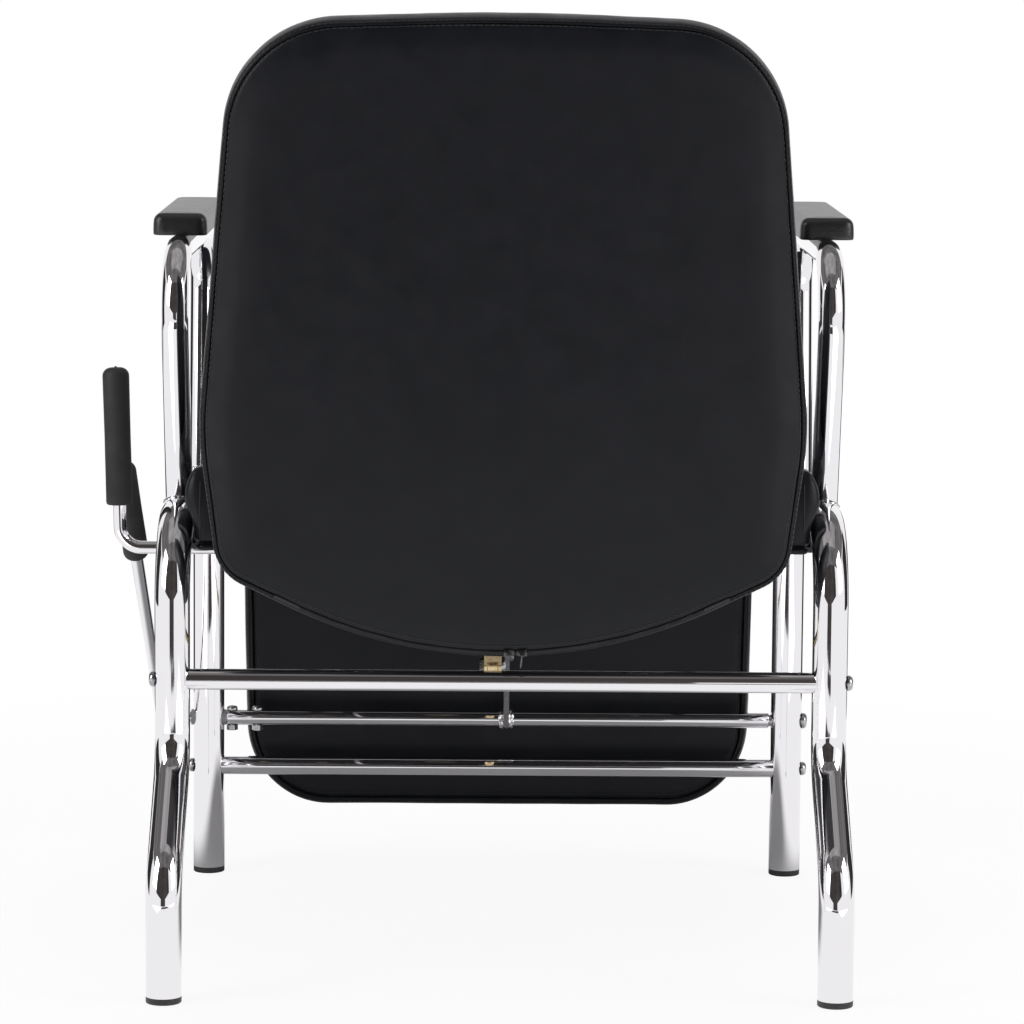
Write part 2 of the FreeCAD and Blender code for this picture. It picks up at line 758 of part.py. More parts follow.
def crank_strip():
    """The strip welded on the torque tube, with a slot that lets the link pin ride in and out."""
    x0, x1 = crank_x - crank_t / 2, crank_x + crank_t / 2
    back, up = -math.sin(sweep_rad), math.cos(sweep_rad)
    end = crank_r + crank_tip - crank_w / 2
    strip = bar_between((torque_y, torque_z), (torque_y + back * end, torque_z + up * end), crank_w, x0, x1,
                        True)
    hub = round_x(torque_y, torque_z, crank_hub_d / 2, crank_x - crank_hub_w / 2, crank_x + crank_hub_w / 2)
    half_turn = sweep_rad / 2
    pin_y = crank_r * (math.sin(half_turn) - math.sin(sweep_rad))
    pin_z = crank_r * (math.cos(sweep_rad) + 1 - math.cos(half_turn))
    inner = math.hypot(pin_y, pin_z) - link_slot_room
    outer = crank_r + link_slot_room
    slot_w = link_pin_d + 2 * (crank_r * slot_drift + link_slot_room)
    slot = bar_between((torque_y + back * inner, torque_z + up * inner),
                       (torque_y + back * outer, torque_z + up * outer), slot_w, x0, x1)
    bore = round_x(torque_y, torque_z, torque_d / 2, x0 - crank_hub_w, x1 + crank_hub_w)
    return strip.fuse(hub).cut([slot, bore]).removeSplitter()


def recline_rod():
    """The bent rod of the recline lever, from inside the torque tube out and up to its grip."""
    bend = recline_point(0)
    inside = vec(-inner_x + torque_overlap, torque_y, torque_z)
    top = recline_point(recline_len - grip_edge * 2)
    wire = runs([inside, bend, top], [0, lever_bend, 0], False)
    return swept(wire, rod_d / 2).cut(clamp_holes())


def recline_point(along):
    """A place on the recline lever's shank, by its distance from the bend."""
    lean = math.radians(recline_lean)
    shank = vec(-recline_out, -recline_len * math.sin(lean), recline_len * math.cos(lean))
    return vec(-recline_bend_x, torque_y, torque_z) + shank.normalize() * along


def hand_grip(length, base, direction):
    """A rubber grip over a lever's end; base is its open lower face."""
    deep = length - grip_edge * 2
    bore = rod_d / 2 + run_clear
    solid = lathe([(bore, 0), (grip_d / 2, 0), (grip_d / 2, length), (0, length), (0, deep), (bore, deep)],
                  [0, grip_edge / 2, grip_edge, 0, 0, 0])
    return aimed(solid, base, direction)


def recline_grip_piece():
    base = recline_point(recline_len - recline_grip)
    return hand_grip(recline_grip, base, (recline_point(recline_len) - base).normalize())


def recline_link():
    """The rod between the fork on the back and the crank, with an eye at each end."""
    rear = (back_pivot_y, clevis_pin_z)
    front = (crank_pin_y, crank_pin_z)
    rear_half = clevis_gap / 2 - side_gap
    front_x1 = crank_x - crank_t / 2 - side_gap
    rod = Part.makeCylinder(link_d / 2, math.dist(rear, front), vec(link_x, *rear),
                            vec(link_x, *front) - vec(link_x, *rear))
    eyes = [round_x(*rear, link_eye_r, link_x - rear_half, link_x + rear_half),
            round_x(*front, link_eye_r, link_x - rear_half, front_x1)]
    bores = [round_x(*rear, link_pin_d / 2 + run_clear, link_x - clevis_gap, link_x + clevis_gap),
             round_x(*front, link_pin_d / 2, link_x - clevis_gap, crank_x)]
    return rod.multiFuse(eyes).cut(bores).removeSplitter()


def link_pin():
    """The headed pin fixed in the link's front eye, through the crank's slot."""
    head_x = crank_x + crank_t / 2 + side_gap
    shank = head_x - link_x + clevis_gap / 2 - side_gap
    head = vec(head_x, crank_pin_y, crank_pin_z)
    return bolt(head, vec(1, 0, 0), link_pin_d, shank, link_eye_r * 2, hinge_head_h)


def rest_lever_rod():
    """The bent rod of the leg rest lever: a shaft under the seat and an upright beside it."""
    inside = vec(-rest_crank_x + rest_crank_t / 2, rest_shaft_y, rest_shaft_z)
    bend = vec(-rest_lever_x, rest_shaft_y, rest_shaft_z)
    top = rest_lever_point(rest_grip_low + rest_grip - grip_edge * 2)
    return swept(runs([inside, bend, top], [0, lever_bend, 0], False), rod_d / 2)


def rest_lever_point(along):
    """A place on the leg rest lever's shank, by its distance from the bend."""
    shank = vec(-rest_lever_lean, 0, rest_grip_low + rest_grip)
    return vec(-rest_lever_x, rest_shaft_y, rest_shaft_z) + shank.normalize() * along


def rest_lever_grip():
    base = rest_lever_point(rest_grip_low)
    return hand_grip(rest_grip, base, (rest_lever_point(rest_grip_low + rest_grip) - base).normalize())


def lever_bearings():
    """Two plates that carry the shaft: one under the left rail, one under the seat board."""
    y0, y1 = rest_shaft_y - bearing_w / 2, rest_shaft_y + bearing_w / 2
    low = rest_shaft_z - bearing_below
    outer = block(-leg_x - bearing_t / 2, -leg_x + bearing_t / 2, y0, y1, low, rail_z).cut(rail_core(-1))
    outer = outer.common(block(-outer_x, -inner_x, y0, y1, low, rail_z - tube_r / 2))
    inner = block(-bearing_x - bearing_t / 2, -bearing_x + bearing_t / 2, y0, y1, low, seat_z)
    bore = round_x(rest_shaft_y, rest_shaft_z, rod_d / 2 + run_clear, -outer_x, 0)
    return group([outer.cut(bore), inner.cut(bore)])


def shaft_collar():
    x1 = -bearing_x - bearing_t / 2 - side_gap
    ring = round_x(rest_shaft_y, rest_shaft_z, collar_d / 2, x1 - collar_w, x1)
    return ring.cut(round_x(rest_shaft_y, rest_shaft_z, rod_d / 2, x1 - collar_w, x1))


def rest_crank():
    """The arm on the inner end of the leg rest lever's shaft."""
    x0, x1 = -rest_crank_x - rest_crank_t / 2, -rest_crank_x + rest_crank_t / 2
    hub = (rest_shaft_y, rest_shaft_z)
    tip = (rest_shaft_y + rest_crank_dy, rest_shaft_z + rest_crank_dz)
    arm = bar_between(hub, tip, rest_boss_r * 2, x0, x1)
    return arm.cut([round_x(*hub, rod_d / 2, x0, x1), round_x(*tip, rest_pin_d / 2, x0, x1)])


def rest_drive_pins():
    """Headed pins at the rear and front ends of the leg rest link: (lever's pin, leg rest's pin)."""
    head = -rest_crank_x + rest_crank_t / 2 + side_gap * 2 + rest_link_t
    shank = rest_link_t + side_gap * 2 + rest_crank_t
    return [bolt(vec(head, y + rest_crank_dy, z + rest_crank_dz), vec(1, 0, 0), rest_pin_d, shank,
                 hinge_head_d, hinge_head_h)
            for y, z in ((rest_shaft_y, rest_shaft_z), (rest_pivot_y, rest_pivot_z))]


def rest_link():
    """The flat bar that keeps the leg rest parallel with its lever."""
    x0 = -rest_crank_x + rest_crank_t / 2 + side_gap
    x1 = x0 + rest_link_t
    ends = [(rest_shaft_y + rest_crank_dy, rest_shaft_z + rest_crank_dz),
            (rest_pivot_y + rest_crank_dy, rest_pivot_z + rest_crank_dz)]
    return bar_between(*ends, rest_link_w, x0, x1).cut(
        [round_x(*end, rest_pin_d / 2 + run_clear, x0, x1) for end in ends])


def rest_outline():
    """The leg rest seen square on, anticlockwise from its left foot corner, and its radii."""
    foot_half = rest_half - rest_taper
    high = rest_top_z - rest_foot_z
    ring = [(-foot_half, 0), (foot_half, 0), (rest_half, high), (-rest_half, high)]
    return ring, [rest_foot_r, rest_foot_r, rest_top_r, rest_top_r]


def stood_rest(shape):
    return stood(shape, 0, rest_rear_y, rest_foot_z)


def rest_rear_panel():
    return stood_rest(padding(*rest_outline(), forward(panel_levels(rest_panel_t))))


def rest_board():
    return stood_rest(slab(*rest_outline(), rest_board_in, -rest_panel_t, -rest_panel_t - rest_board_t))


def rest_cushion():
    """Foam ahead of the leg rest's board, with a pocket for the board."""
    front = rest_panel_t + rest_board_t
    levels = cushion_levels(rest_panel_t, rest_t, rest_crown, rest_crown_reach)
    foam = padding(*rest_outline(), forward(levels))
    pocket = slab(*rest_outline(), rest_board_in - soft_gap, -rest_panel_t, -front - soft_gap)
    return stood_rest(foam.cut(pocket))


def rest_straps():
    """Angle plates on the leg rest's rear face that hang from the hinge pins."""
    straps = []
    low = rest_top_z - strap_base_len
    for side in SIDES:
        x0, x1 = span(side, rest_hinge_x - hinge_t / 2, rest_hinge_x + hinge_t / 2)
        web = plate([(rest_rear_y, low), (rest_rear_y, rest_top_z),
                     (rest_pivot_y + hinge_boss_r, rest_pivot_z), (rest_pivot_y - hinge_boss_r, rest_pivot_z),
                     (rest_pivot_y - hinge_boss_r, low)], x0, x1)
        b0, b1 = span(side, rest_hinge_x + hinge_t / 2 - strap_base_w, rest_hinge_x + hinge_t / 2)
        base = block(b0, b1, rest_rear_y - strap_base_t, rest_rear_y, low, rest_top_z - strap_base_t)
        boss = round_x(rest_pivot_y, rest_pivot_z, hinge_boss_r, x0, x1)
        hole = round_x(rest_pivot_y, rest_pivot_z, hinge_pin_d / 2 + run_clear, x0, x1)
        straps.append(web.multiFuse([base, boss]).cut(hole).removeSplitter())
    return group(straps)


def rest_arm():
    """The arm on the leg rest's rear face that its link pushes."""
    x0, x1 = -rest_crank_x - rest_crank_t / 2, -rest_crank_x + rest_crank_t / 2
    tip = (rest_pivot_y + rest_crank_dy, rest_pivot_z + rest_crank_dz)
    face = rest_rear_y
    low, high = tip[1] - rest_boss_r, tip[1] + rest_boss_r
    arm = plate([(face, low - rest_boss_r), (face, high), (tip[0], high), (tip[0], low)], x0, x1)
    base = block(x0, x1 + strap_base_w, face - strap_base_t, face, low - rest_boss_r * 2, high)
    boss = round_x(*tip, rest_boss_r, x0, x1)
    return arm.multiFuse([base, boss]).cut(round_x(*tip, rest_pin_d / 2, x0, x1)).removeSplitter()


def rest_brackets():
    """Angle plates under the seat board with the ears that carry the leg rest."""
    rear = seat_front_y - rest_bracket_in - rest_bracket_len
    front = seat_front_y - rest_bracket_in
    low = seat_z - hinge_t
    brackets = []
    for side in SIDES:
        x0, x1 = hinge_ear_x(side, rest_hinge_x)
        edge = rest_hinge_x - hinge_t / 2 - side_gap
        base = block(*span(side, edge - strap_base_w, edge), rear, front, low, seat_z)
        ear = plate([(rear, low), (front, low - hinge_boss_r), (rest_pivot_y, rest_pivot_z - hinge_boss_r),
                     (rest_pivot_y, rest_pivot_z), (front, seat_z), (rear, seat_z)], x0, x1)
        boss = round_x(rest_pivot_y, rest_pivot_z, hinge_boss_r, x0, x1)
        hole = round_x(rest_pivot_y, rest_pivot_z, hinge_pin_d / 2 + run_clear, x0, x1)
        brackets.append(base.multiFuse([ear, boss]).cut(hole).removeSplitter())
    return group(brackets)


def chair_nodes():
    """Every piece of the chair by its name."""
    lever_pin, leg_rest_pin = rest_drive_pins()
    return {
        "left_leg_loop": leg_loop(-1),
        "right_leg_loop": leg_loop(1),
        "foot_caps": group([foot_cap(side, y) for side in SIDES for y in (0, front_leg_y)]),
        "left_arm_loop": arm_loop(-1),
        "right_arm_loop": arm_loop(1),
        "left_arm_pad": arm_pad(-1),
        "right_arm_pad": arm_pad(1),
        "arm_pad_screws": arm_pad_screws(),
        "rear_stretcher": stretcher(leg_set, rear_bar_z),
        "front_stretcher": stretcher(front_leg_y, front_bar_z),
        "stretcher_bolts": stretcher_bolts(),
        "rear_seat_bearer": rear_bearer(),
        "front_seat_bearer": bearer(front_bearer_y),
        "seat_bolts": seat_bolts(),
        "seat_board": seat_board(),
        "seat_cushion": seat_cushion(),
        "back_hinge_pins": hinge_pins(back_pivot_y, back_pivot_z, back_hinge_x),
        "leg_rest_brackets": rest_brackets(),
        "leg_rest_hinge_pins": hinge_pins(rest_pivot_y, rest_pivot_z, rest_hinge_x),
        "lever_bearings": lever_bearings(),
        "lever_bush": lever_bush(),
        "torque_stub_pin": stub_pin(),
        "back_rear_panel": back_rear_panel(),
        "back_board": back_board(),
        "back_cushion": back_cushion(),
        "back_hinge_straps": back_straps(),
        "link_clevis": link_clevis(),
        "clevis_bolt": clevis_bolt(),
        "torque_tube": torque_tube(),
        "clamp_bolts": clamp_bolts(),
        "crank_strip": crank_strip(),
        "recline_lever_rod": recline_rod(),
        "recline_lever_grip": recline_grip_piece(),
        "recline_link": recline_link(),
        "recline_link_pin": link_pin(),
        "leg_rest_lever_rod": rest_lever_rod(),
        "leg_rest_lever_grip": rest_lever_grip(),
        "lever_shaft_collar": shaft_collar(),
        "leg_rest_crank": rest_crank(),
        "leg_rest_crank_pin": lever_pin,
        "leg_rest_link": rest_link(),
        "leg_rest_rear_panel": rest_rear_panel(),
        "leg_rest_board": rest_board(),
        "leg_rest_cushion": rest_cushion(),
        "leg_rest_hinge_straps": rest_straps(),
        "leg_rest_arm": rest_arm(),
        "leg_rest_arm_pin": leg_rest_pin,
    }


def floor_middle():
    """The place on the floor under the middle of the chair's reach."""
    left = -recline_bend_x - recline_out - grip_d / 2
    right = leg_x + pad_w / 2
    rear = back_yz(0, back_len - seam_in * 4)[0]
    front = rest_rear_y + rest_t + rest_crown
    return vec((left + right) / 2, (rear + front) / 2, 0)


os.makedirs("parts", exist_ok=True)
for name, shape in chair_nodes().items():
    shape.translate(floor_middle() * -1)
    shape.exportStep("parts/" + name + ".step")
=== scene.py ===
"""Looks of a reclining wash chair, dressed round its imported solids. Lengths are metres."""

import json
import logging
import math
from dataclasses import dataclass
from enum import Enum
from typing import Callable, Iterable, Optional, Sequence

import bmesh
import bpy
import numpy as np
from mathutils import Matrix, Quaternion, Vector, noise
from mathutils.kdtree import KDTree

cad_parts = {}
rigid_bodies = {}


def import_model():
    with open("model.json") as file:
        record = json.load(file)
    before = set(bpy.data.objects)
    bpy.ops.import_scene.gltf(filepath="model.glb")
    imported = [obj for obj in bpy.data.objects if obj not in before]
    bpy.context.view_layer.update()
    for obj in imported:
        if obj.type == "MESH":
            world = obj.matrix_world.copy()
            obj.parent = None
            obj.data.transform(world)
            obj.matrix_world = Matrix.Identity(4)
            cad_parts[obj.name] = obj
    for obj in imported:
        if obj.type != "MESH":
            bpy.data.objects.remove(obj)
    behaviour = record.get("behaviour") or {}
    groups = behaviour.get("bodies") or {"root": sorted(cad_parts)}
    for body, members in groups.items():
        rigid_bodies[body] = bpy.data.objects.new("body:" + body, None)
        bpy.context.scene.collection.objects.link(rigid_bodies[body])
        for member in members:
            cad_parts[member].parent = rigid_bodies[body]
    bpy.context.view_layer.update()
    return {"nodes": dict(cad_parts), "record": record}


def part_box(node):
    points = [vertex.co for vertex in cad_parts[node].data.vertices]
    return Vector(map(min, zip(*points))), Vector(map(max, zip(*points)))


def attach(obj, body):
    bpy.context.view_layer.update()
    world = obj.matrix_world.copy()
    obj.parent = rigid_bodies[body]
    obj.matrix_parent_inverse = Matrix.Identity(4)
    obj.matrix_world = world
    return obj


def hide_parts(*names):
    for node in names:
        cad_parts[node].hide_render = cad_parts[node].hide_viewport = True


for leftover in list(bpy.data.objects):
    bpy.data.objects.remove(leftover)
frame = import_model()
LOG = logging.getLogger("wash_chair")

Flat = tuple[float, float]
Spot = tuple[float, float, float]
Colour = tuple[float, float, float]
Rows = tuple[Flat, ...]
Grid = list[list[Vector]]
Place = Callable[[float, float, float], Vector]

ACROSS = Vector((1, 0, 0))
NOISE_SPAN = (0.3, 0.7)
TINY = 1e-9


class Side(Enum):
    """The sitter's left and right, as the sign of X."""

    LEFT = -1
    RIGHT = 1

    @property
    def word(self) -> str:
        """The side as it stands in piece names."""
        return self.name.lower()


class Slot(Enum):
    """The record's material slots."""

    CHROME = "chrome_tube"
    FOOT = "foot_plastic"
    ARM_PAD = "arm_pad_skin"
    GRIP = "grip_rubber"
    ZINC = "bright_zinc"
    YELLOW = "yellow_zinc"
    BRACKET = "bracket_steel"
    PLY = "plywood"
    VINYL = "black_vinyl"


class CardTone(Enum):
    """The glow of the studio's cards, which only reflections see: painted reflections of a dim room and
    ceiling, a pale ceiling panel, dark flags and bright patches of floor.
    """

    DIM_ROOM = (0.058, 0.052, 0.049)
    DIM_CEILING = (0.150, 0.143, 0.142)
    PALE_CEILING = (0.31, 0.30, 0.30)
    DARK_FLAG = (0.030, 0.028, 0.030)
    BRIGHT_FLOOR = (2.1, 2.0, 2.1)


class Graph:
    """A material's node tree, with short ways to add and join nodes."""

    def __init__(self, name: str) -> None:
        """Start an empty material.

        Args:
            name: The material's name.
        """
        self.material = bpy.data.materials.new(name)
        self.material.use_nodes = True
        self.nodes = self.material.node_tree.nodes
        self.links = self.material.node_tree.links
        self.nodes.clear()
        self.output = self.nodes.new("ShaderNodeOutputMaterial")

    def add(self, kind: str, sockets: Optional[dict] = None, **settings: object) -> bpy.types.Node:
        """Add one node.

        Args:
            kind: The node's type, without its ShaderNode prefix.
            sockets: Input values, or output sockets to join, by input name or number.
            settings: Attributes of the node.

        Returns:
            The new node.
        """
        node = self.nodes.new("ShaderNode" + kind)
        for key, value in settings.items():
            setattr(node, key, value)
        for key, value in (sockets or {}).items():
            if isinstance(value, bpy.types.NodeSocket):
                self.links.new(value, node.inputs[key])
            else:
                node.inputs[key].default_value = value
        return node

    def show(self, shader: bpy.types.NodeSocket) -> bpy.types.Material:
        """Join a shader to the output and give the finished material."""
        self.links.new(shader, self.output.inputs["Surface"])
        return self.material

    def coat(self, sockets: dict) -> bpy.types.Material:
        """Finish the material with one principled surface."""
        return self.show(self.add("BsdfPrincipled", sockets).outputs[0])

    def spots(self, scale: float, detail: float, stretch: Spot = (1, 1, 1)) -> bpy.types.NodeSocket:
        """Noise fixed to the piece.

        Args:
            scale: Lumps to the metre.
            detail: Finer layers on top.
            stretch: How much the lumps are squeezed along each axis.

        Returns:
            The noise value, which stays near a half.
        """
        where = self.add("TexCoord").outputs["Object"]
        spread = self.add("Mapping", {"Vector": where, "Scale": stretch}).outputs[0]
        return self.add("TexNoise", {"Vector": spread, "Scale": scale, "Detail": detail}).outputs["Fac"]

    def between(self, value: bpy.types.NodeSocket, low: float, high: float) -> bpy.types.NodeSocket:
        """A noise value spread over a range.

        Args:
            value: The noise value.
            low: The least of the range.
            high: The most of the range.

        Returns:
            The spread value.
        """
        least, most = NOISE_SPAN
        sockets = {"Value": value, "From Min": least, "From Max": most, "To Min": low, "To Max": high}
        return self.add("MapRange", sockets).outputs[0]

    def blend(self, value: bpy.types.NodeSocket, first: Colour, second: Colour) -> bpy.types.NodeSocket:
        """Two colours mixed by a value.

        Args:
            value: A noise value, or a flag that is 0 or 1.
            first: The colour where the value is low.
            second: The colour where it is high.

        Returns:
            The mixed colour.
        """
        ramp = self.add("ValToRGB", {"Fac": value})
        for stop, position, colour in zip(ramp.color_ramp.elements, NOISE_SPAN, (first, second)):
            stop.position = position
            stop.color = (*colour, 1)
        return ramp.outputs["Color"]

    def dents(self, height: bpy.types.NodeSocket, depth: float, strength: float,
              under: Optional[bpy.types.NodeSocket] = None) -> bpy.types.NodeSocket:
        """A bumped normal.

        Args:
            height: The bump's height, 0 to 1.
            depth: Its real depth.
            strength: How much of it shows.
            under: A bumped normal that it lies on.

        Returns:
            The normal.
        """
        sockets = {"Height": height, "Distance": depth, "Strength": strength}
        if under is not None:
            sockets["Normal"] = under
        return self.add("Bump", sockets).outputs[0]


@dataclass(frozen=True)
class ChromeFinish:
    """Bright chrome plate, with the faint waves and haze of polished tube.

    Attributes:
        name: The material's name.
        tint: The plate's colour.
        gloss: Least and most roughness.
        haze: Hazy patches to the metre.
        wave: Waves to the metre.
        wave_depth: How deep the waves are.
        wave_show: How much of them shows.
    """

    name: str = "chrome_plate"
    tint: Colour = (0.835, 0.822, 0.848)
    gloss: Flat = (0.02, 0.05)
    haze: float = 35
    wave: float = 22
    wave_depth: float = 0.0006
    wave_show: float = 0.05

    def build(self) -> bpy.types.Material:
        """Build the finish.

        Returns:
            The finished material.
        """
        graph = Graph(self.name)
        rough = graph.between(graph.spots(self.haze, 4), *self.gloss)
        waved = graph.dents(graph.spots(self.wave, 1), self.wave_depth, self.wave_show)
        colour = (*self.tint, 1)
        return graph.coat({"Base Color": colour, "Metallic": 1.0, "Roughness": rough, "Normal": waved})


@dataclass(frozen=True)
class PlatedFinish:
    """Plated small steel, blotched by its bath and dull where it was handled.

    Attributes:
        name: The material's name.
        first: The darker colour.
        second: The lighter colour.
        gloss: Least and most roughness.
        draw: How much its marks are squeezed along each axis.
        blotch: Blotches to the metre.
        dull: Dull patches to the metre.
        scuff: Scuffs to the metre.
        scuff_depth: How deep the scuffs are.
        scuff_show: How much of them shows.
    """

    name: str
    first: Colour
    second: Colour
    gloss: Flat = (0.18, 0.36)
    draw: Spot = (1, 1, 1)
    blotch: float = 140
    dull: float = 320
    scuff: float = 900
    scuff_depth: float = 0.0002
    scuff_show: float = 0.15

    def build(self) -> bpy.types.Material:
        """Build the finish.

        Returns:
            The finished material.
        """
        graph = Graph(self.name)
        colour = graph.blend(graph.spots(self.blotch, 4, self.draw), self.first, self.second)
        rough = graph.between(graph.spots(self.dull, 3), *self.gloss)
        scuffed = graph.dents(graph.spots(self.scuff, 2, self.draw), self.scuff_depth, self.scuff_show)
        return graph.coat({"Base Color": colour, "Metallic": 1.0, "Roughness": rough, "Normal": scuffed})


@dataclass(frozen=True)
class SkinFinish:
    """A grained skin: vinyl cloth, moulded foam skin, rubber, plastic, thread or paint, by its sizes.

    Attributes:
        name: The material's name.
        first: The darker colour.
        second: The lighter colour.
        gloss: Least and most roughness.
        grain: Grains to the metre.
        grain_depth: How deep the grain is pressed.
        grain_show: How much of the grain shows.
        shine: Specular level.
        bloom: How much it lightens where it turns away.
        bloom_spread: How soft that is.
        patch: Patches of colour to the metre.
        dull: Dull patches to the metre.
        swell: Swells to each grain.
        swell_depth: How deep a swell is, in depths of grain.
        swell_show: How much of the swells shows.
    """

    name: str
    first: Colour
    second: Colour
    gloss: Flat
    grain: float
    grain_depth: float
    grain_show: float
    shine: float
    bloom: float = 0.0
    bloom_spread: float = 0.3
    patch: float = 26
    dull: float = 48
    swell: float = 0.16
    swell_depth: float = 3
    swell_show: float = 0.18

    def build(self) -> bpy.types.Material:
        """Build the finish.

        Returns:
            The finished material.
        """
        graph = Graph(self.name)
        colour = graph.blend(graph.spots(self.patch, 5), self.first, self.second)
        rough = graph.between(graph.spots(self.dull, 4), *self.gloss)
        cells = {"Vector": graph.add("TexCoord").outputs["Object"], "Scale": self.grain, "Randomness": 1.0}
        pores = graph.add("TexVoronoi", cells, feature="SMOOTH_F1").outputs["Distance"]
        pressed = graph.dents(pores, self.grain_depth, self.grain_show)
        swells = graph.spots(self.grain * self.swell, 2)
        soft = graph.dents(swells, self.grain_depth * self.swell_depth, self.swell_show, pressed)
        return graph.coat({"Base Color": colour, "Roughness": rough, "Specular IOR Level": self.shine,
                           "Normal": soft, "Sheen Weight": self.bloom, "Sheen Roughness": self.bloom_spread})


@dataclass(frozen=True)
class PlyFinish:
    """Raw birch ply, with grain along the board.

    Attributes:
        name: The material's name.
        dark: The colour in the grain.
        pale: The colour beside it.
        gloss: Least and most roughness.
        grain: Lines of grain to the metre.
        along: How much the grain is squeezed along each axis.
        dull: Dull patches to the metre.
        fibre_depth: How deep the fibres are.
        fibre_show: How much of them shows.
    """

    name: str = "birch_ply"
    dark: Colour = (0.42, 0.29, 0.17)
    pale: Colour = (0.58, 0.43, 0.27)
    gloss: Flat = (0.55, 0.75)
    grain: float = 60
    along: Spot = (0.15, 1, 1)
    dull: float = 90
    fibre_depth: float = 0.0004
    fibre_show: float = 0.3

    def build(self) -> bpy.types.Material:
        """Build the finish.

        Returns:
            The finished material.
        """
        graph = Graph(self.name)
        grain = graph.spots(self.grain, 6, self.along)
        colour = graph.blend(grain, self.dark, self.pale)
        rough = graph.between(graph.spots(self.dull, 3), *self.gloss)
        fibres = graph.dents(grain, self.fibre_depth, self.fibre_show)
        return graph.coat({"Base Color": colour, "Roughness": rough, "Normal": fibres})


@dataclass(frozen=True)
class FloorFinish:
    """A pale floor that shows white to the eye and, away from the chair, in reflections, and keeps a soft
    shadow; near the chair its reflections show a painted shade.

    Attributes:
        name: The material's name.
        paint: The floor's own colour.
        clear: How much of the plain white the eye sees next to the chair.
        fade: Where, from the chair, the floor has turned all white.
        reflected_shade: A painted shade: the darker colour in which the chair's reflections see the floor, in
            place of its own colour.
        gloss_clear: How much of the plain white is reflected by the chair from the floor under it.
        gloss_fade: Where the reflected floor has turned all white.
        shade_y: Middle of the shade under the chair.
    """

    name: str = "studio_floor"
    paint: Colour = (0.86, 0.86, 0.86)
    clear: float = 0.90
    fade: Flat = (0.5, 1.6)
    # Painted shade: a darker floor colour that only reflections see.
    reflected_shade: Colour = (0.42, 0.415, 0.42)
    gloss_clear: float = 0.06
    gloss_fade: Flat = (0.28, 0.50)
    shade_y: float = 0.22

    def build(self) -> bpy.types.Material:
        """Build the finish.

        Returns:
            The finished material.
        """
        graph = Graph(self.name)
        ends = {0: graph.add("TexCoord").outputs["Object"], 1: (0, self.shade_y, 0)}
        away = graph.add("VectorMath", ends, operation="DISTANCE").outputs["Value"]
        rays = graph.add("LightPath").outputs
        white = rays["Is Transmission Ray"]
        for ray, clear, (near, far) in (("Is Camera Ray", self.clear, self.fade),
                                        ("Is Glossy Ray", self.gloss_clear, self.gloss_fade)):
            reach = {"Value": away, "From Min": near, "From Max": far, "To Min": clear, "To Max": 1.0}
            share = graph.add("MapRange", reach, interpolation_type="SMOOTHSTEP").outputs[0]
            seen = graph.add("Math", {0: rays[ray], 1: share}, operation="MULTIPLY").outputs[0]
            white = graph.add("Math", {0: white, 1: seen}, operation="MAXIMUM").outputs[0]
        # Reflections see the floor in the painted shade colour; the eye sees its own paint.
        tint = graph.blend(rays["Is Glossy Ray"], self.paint, self.reflected_shade)
        matt = graph.add("BsdfDiffuse", {"Color": tint}).outputs[0]
        glow = graph.add("Emission", {"Color": (1, 1, 1, 1), "Strength": 1.0}).outputs[0]
        return graph.show(graph.add("MixShader", {0: white, 1: matt, 2: glow}).outputs[0])


@dataclass(frozen=True)
class CardGlow:
    """The cloudy glow of a studio card, a painted reflection.

    Attributes:
        tone: The card's tone.
        cloud: Clouds to the metre.
        spread: The dim and the bright of the clouds, as shares of the tone.
    """

    tone: CardTone
    cloud: float = 1.1
    spread: Flat = (0.65, 1.35)

    def build(self) -> bpy.types.Material:
        """Build the finish.

        Returns:
            The finished material.
        """
        graph = Graph(self.tone.name.lower())
        dim, bright = (tuple(share * part for part in self.tone.value) for share in self.spread)
        cloudy = graph.blend(graph.spots(self.cloud, 2), dim, bright)
        return graph.show(graph.add("Emission", {"Color": cloudy, "Strength": 1.0}).outputs[0])


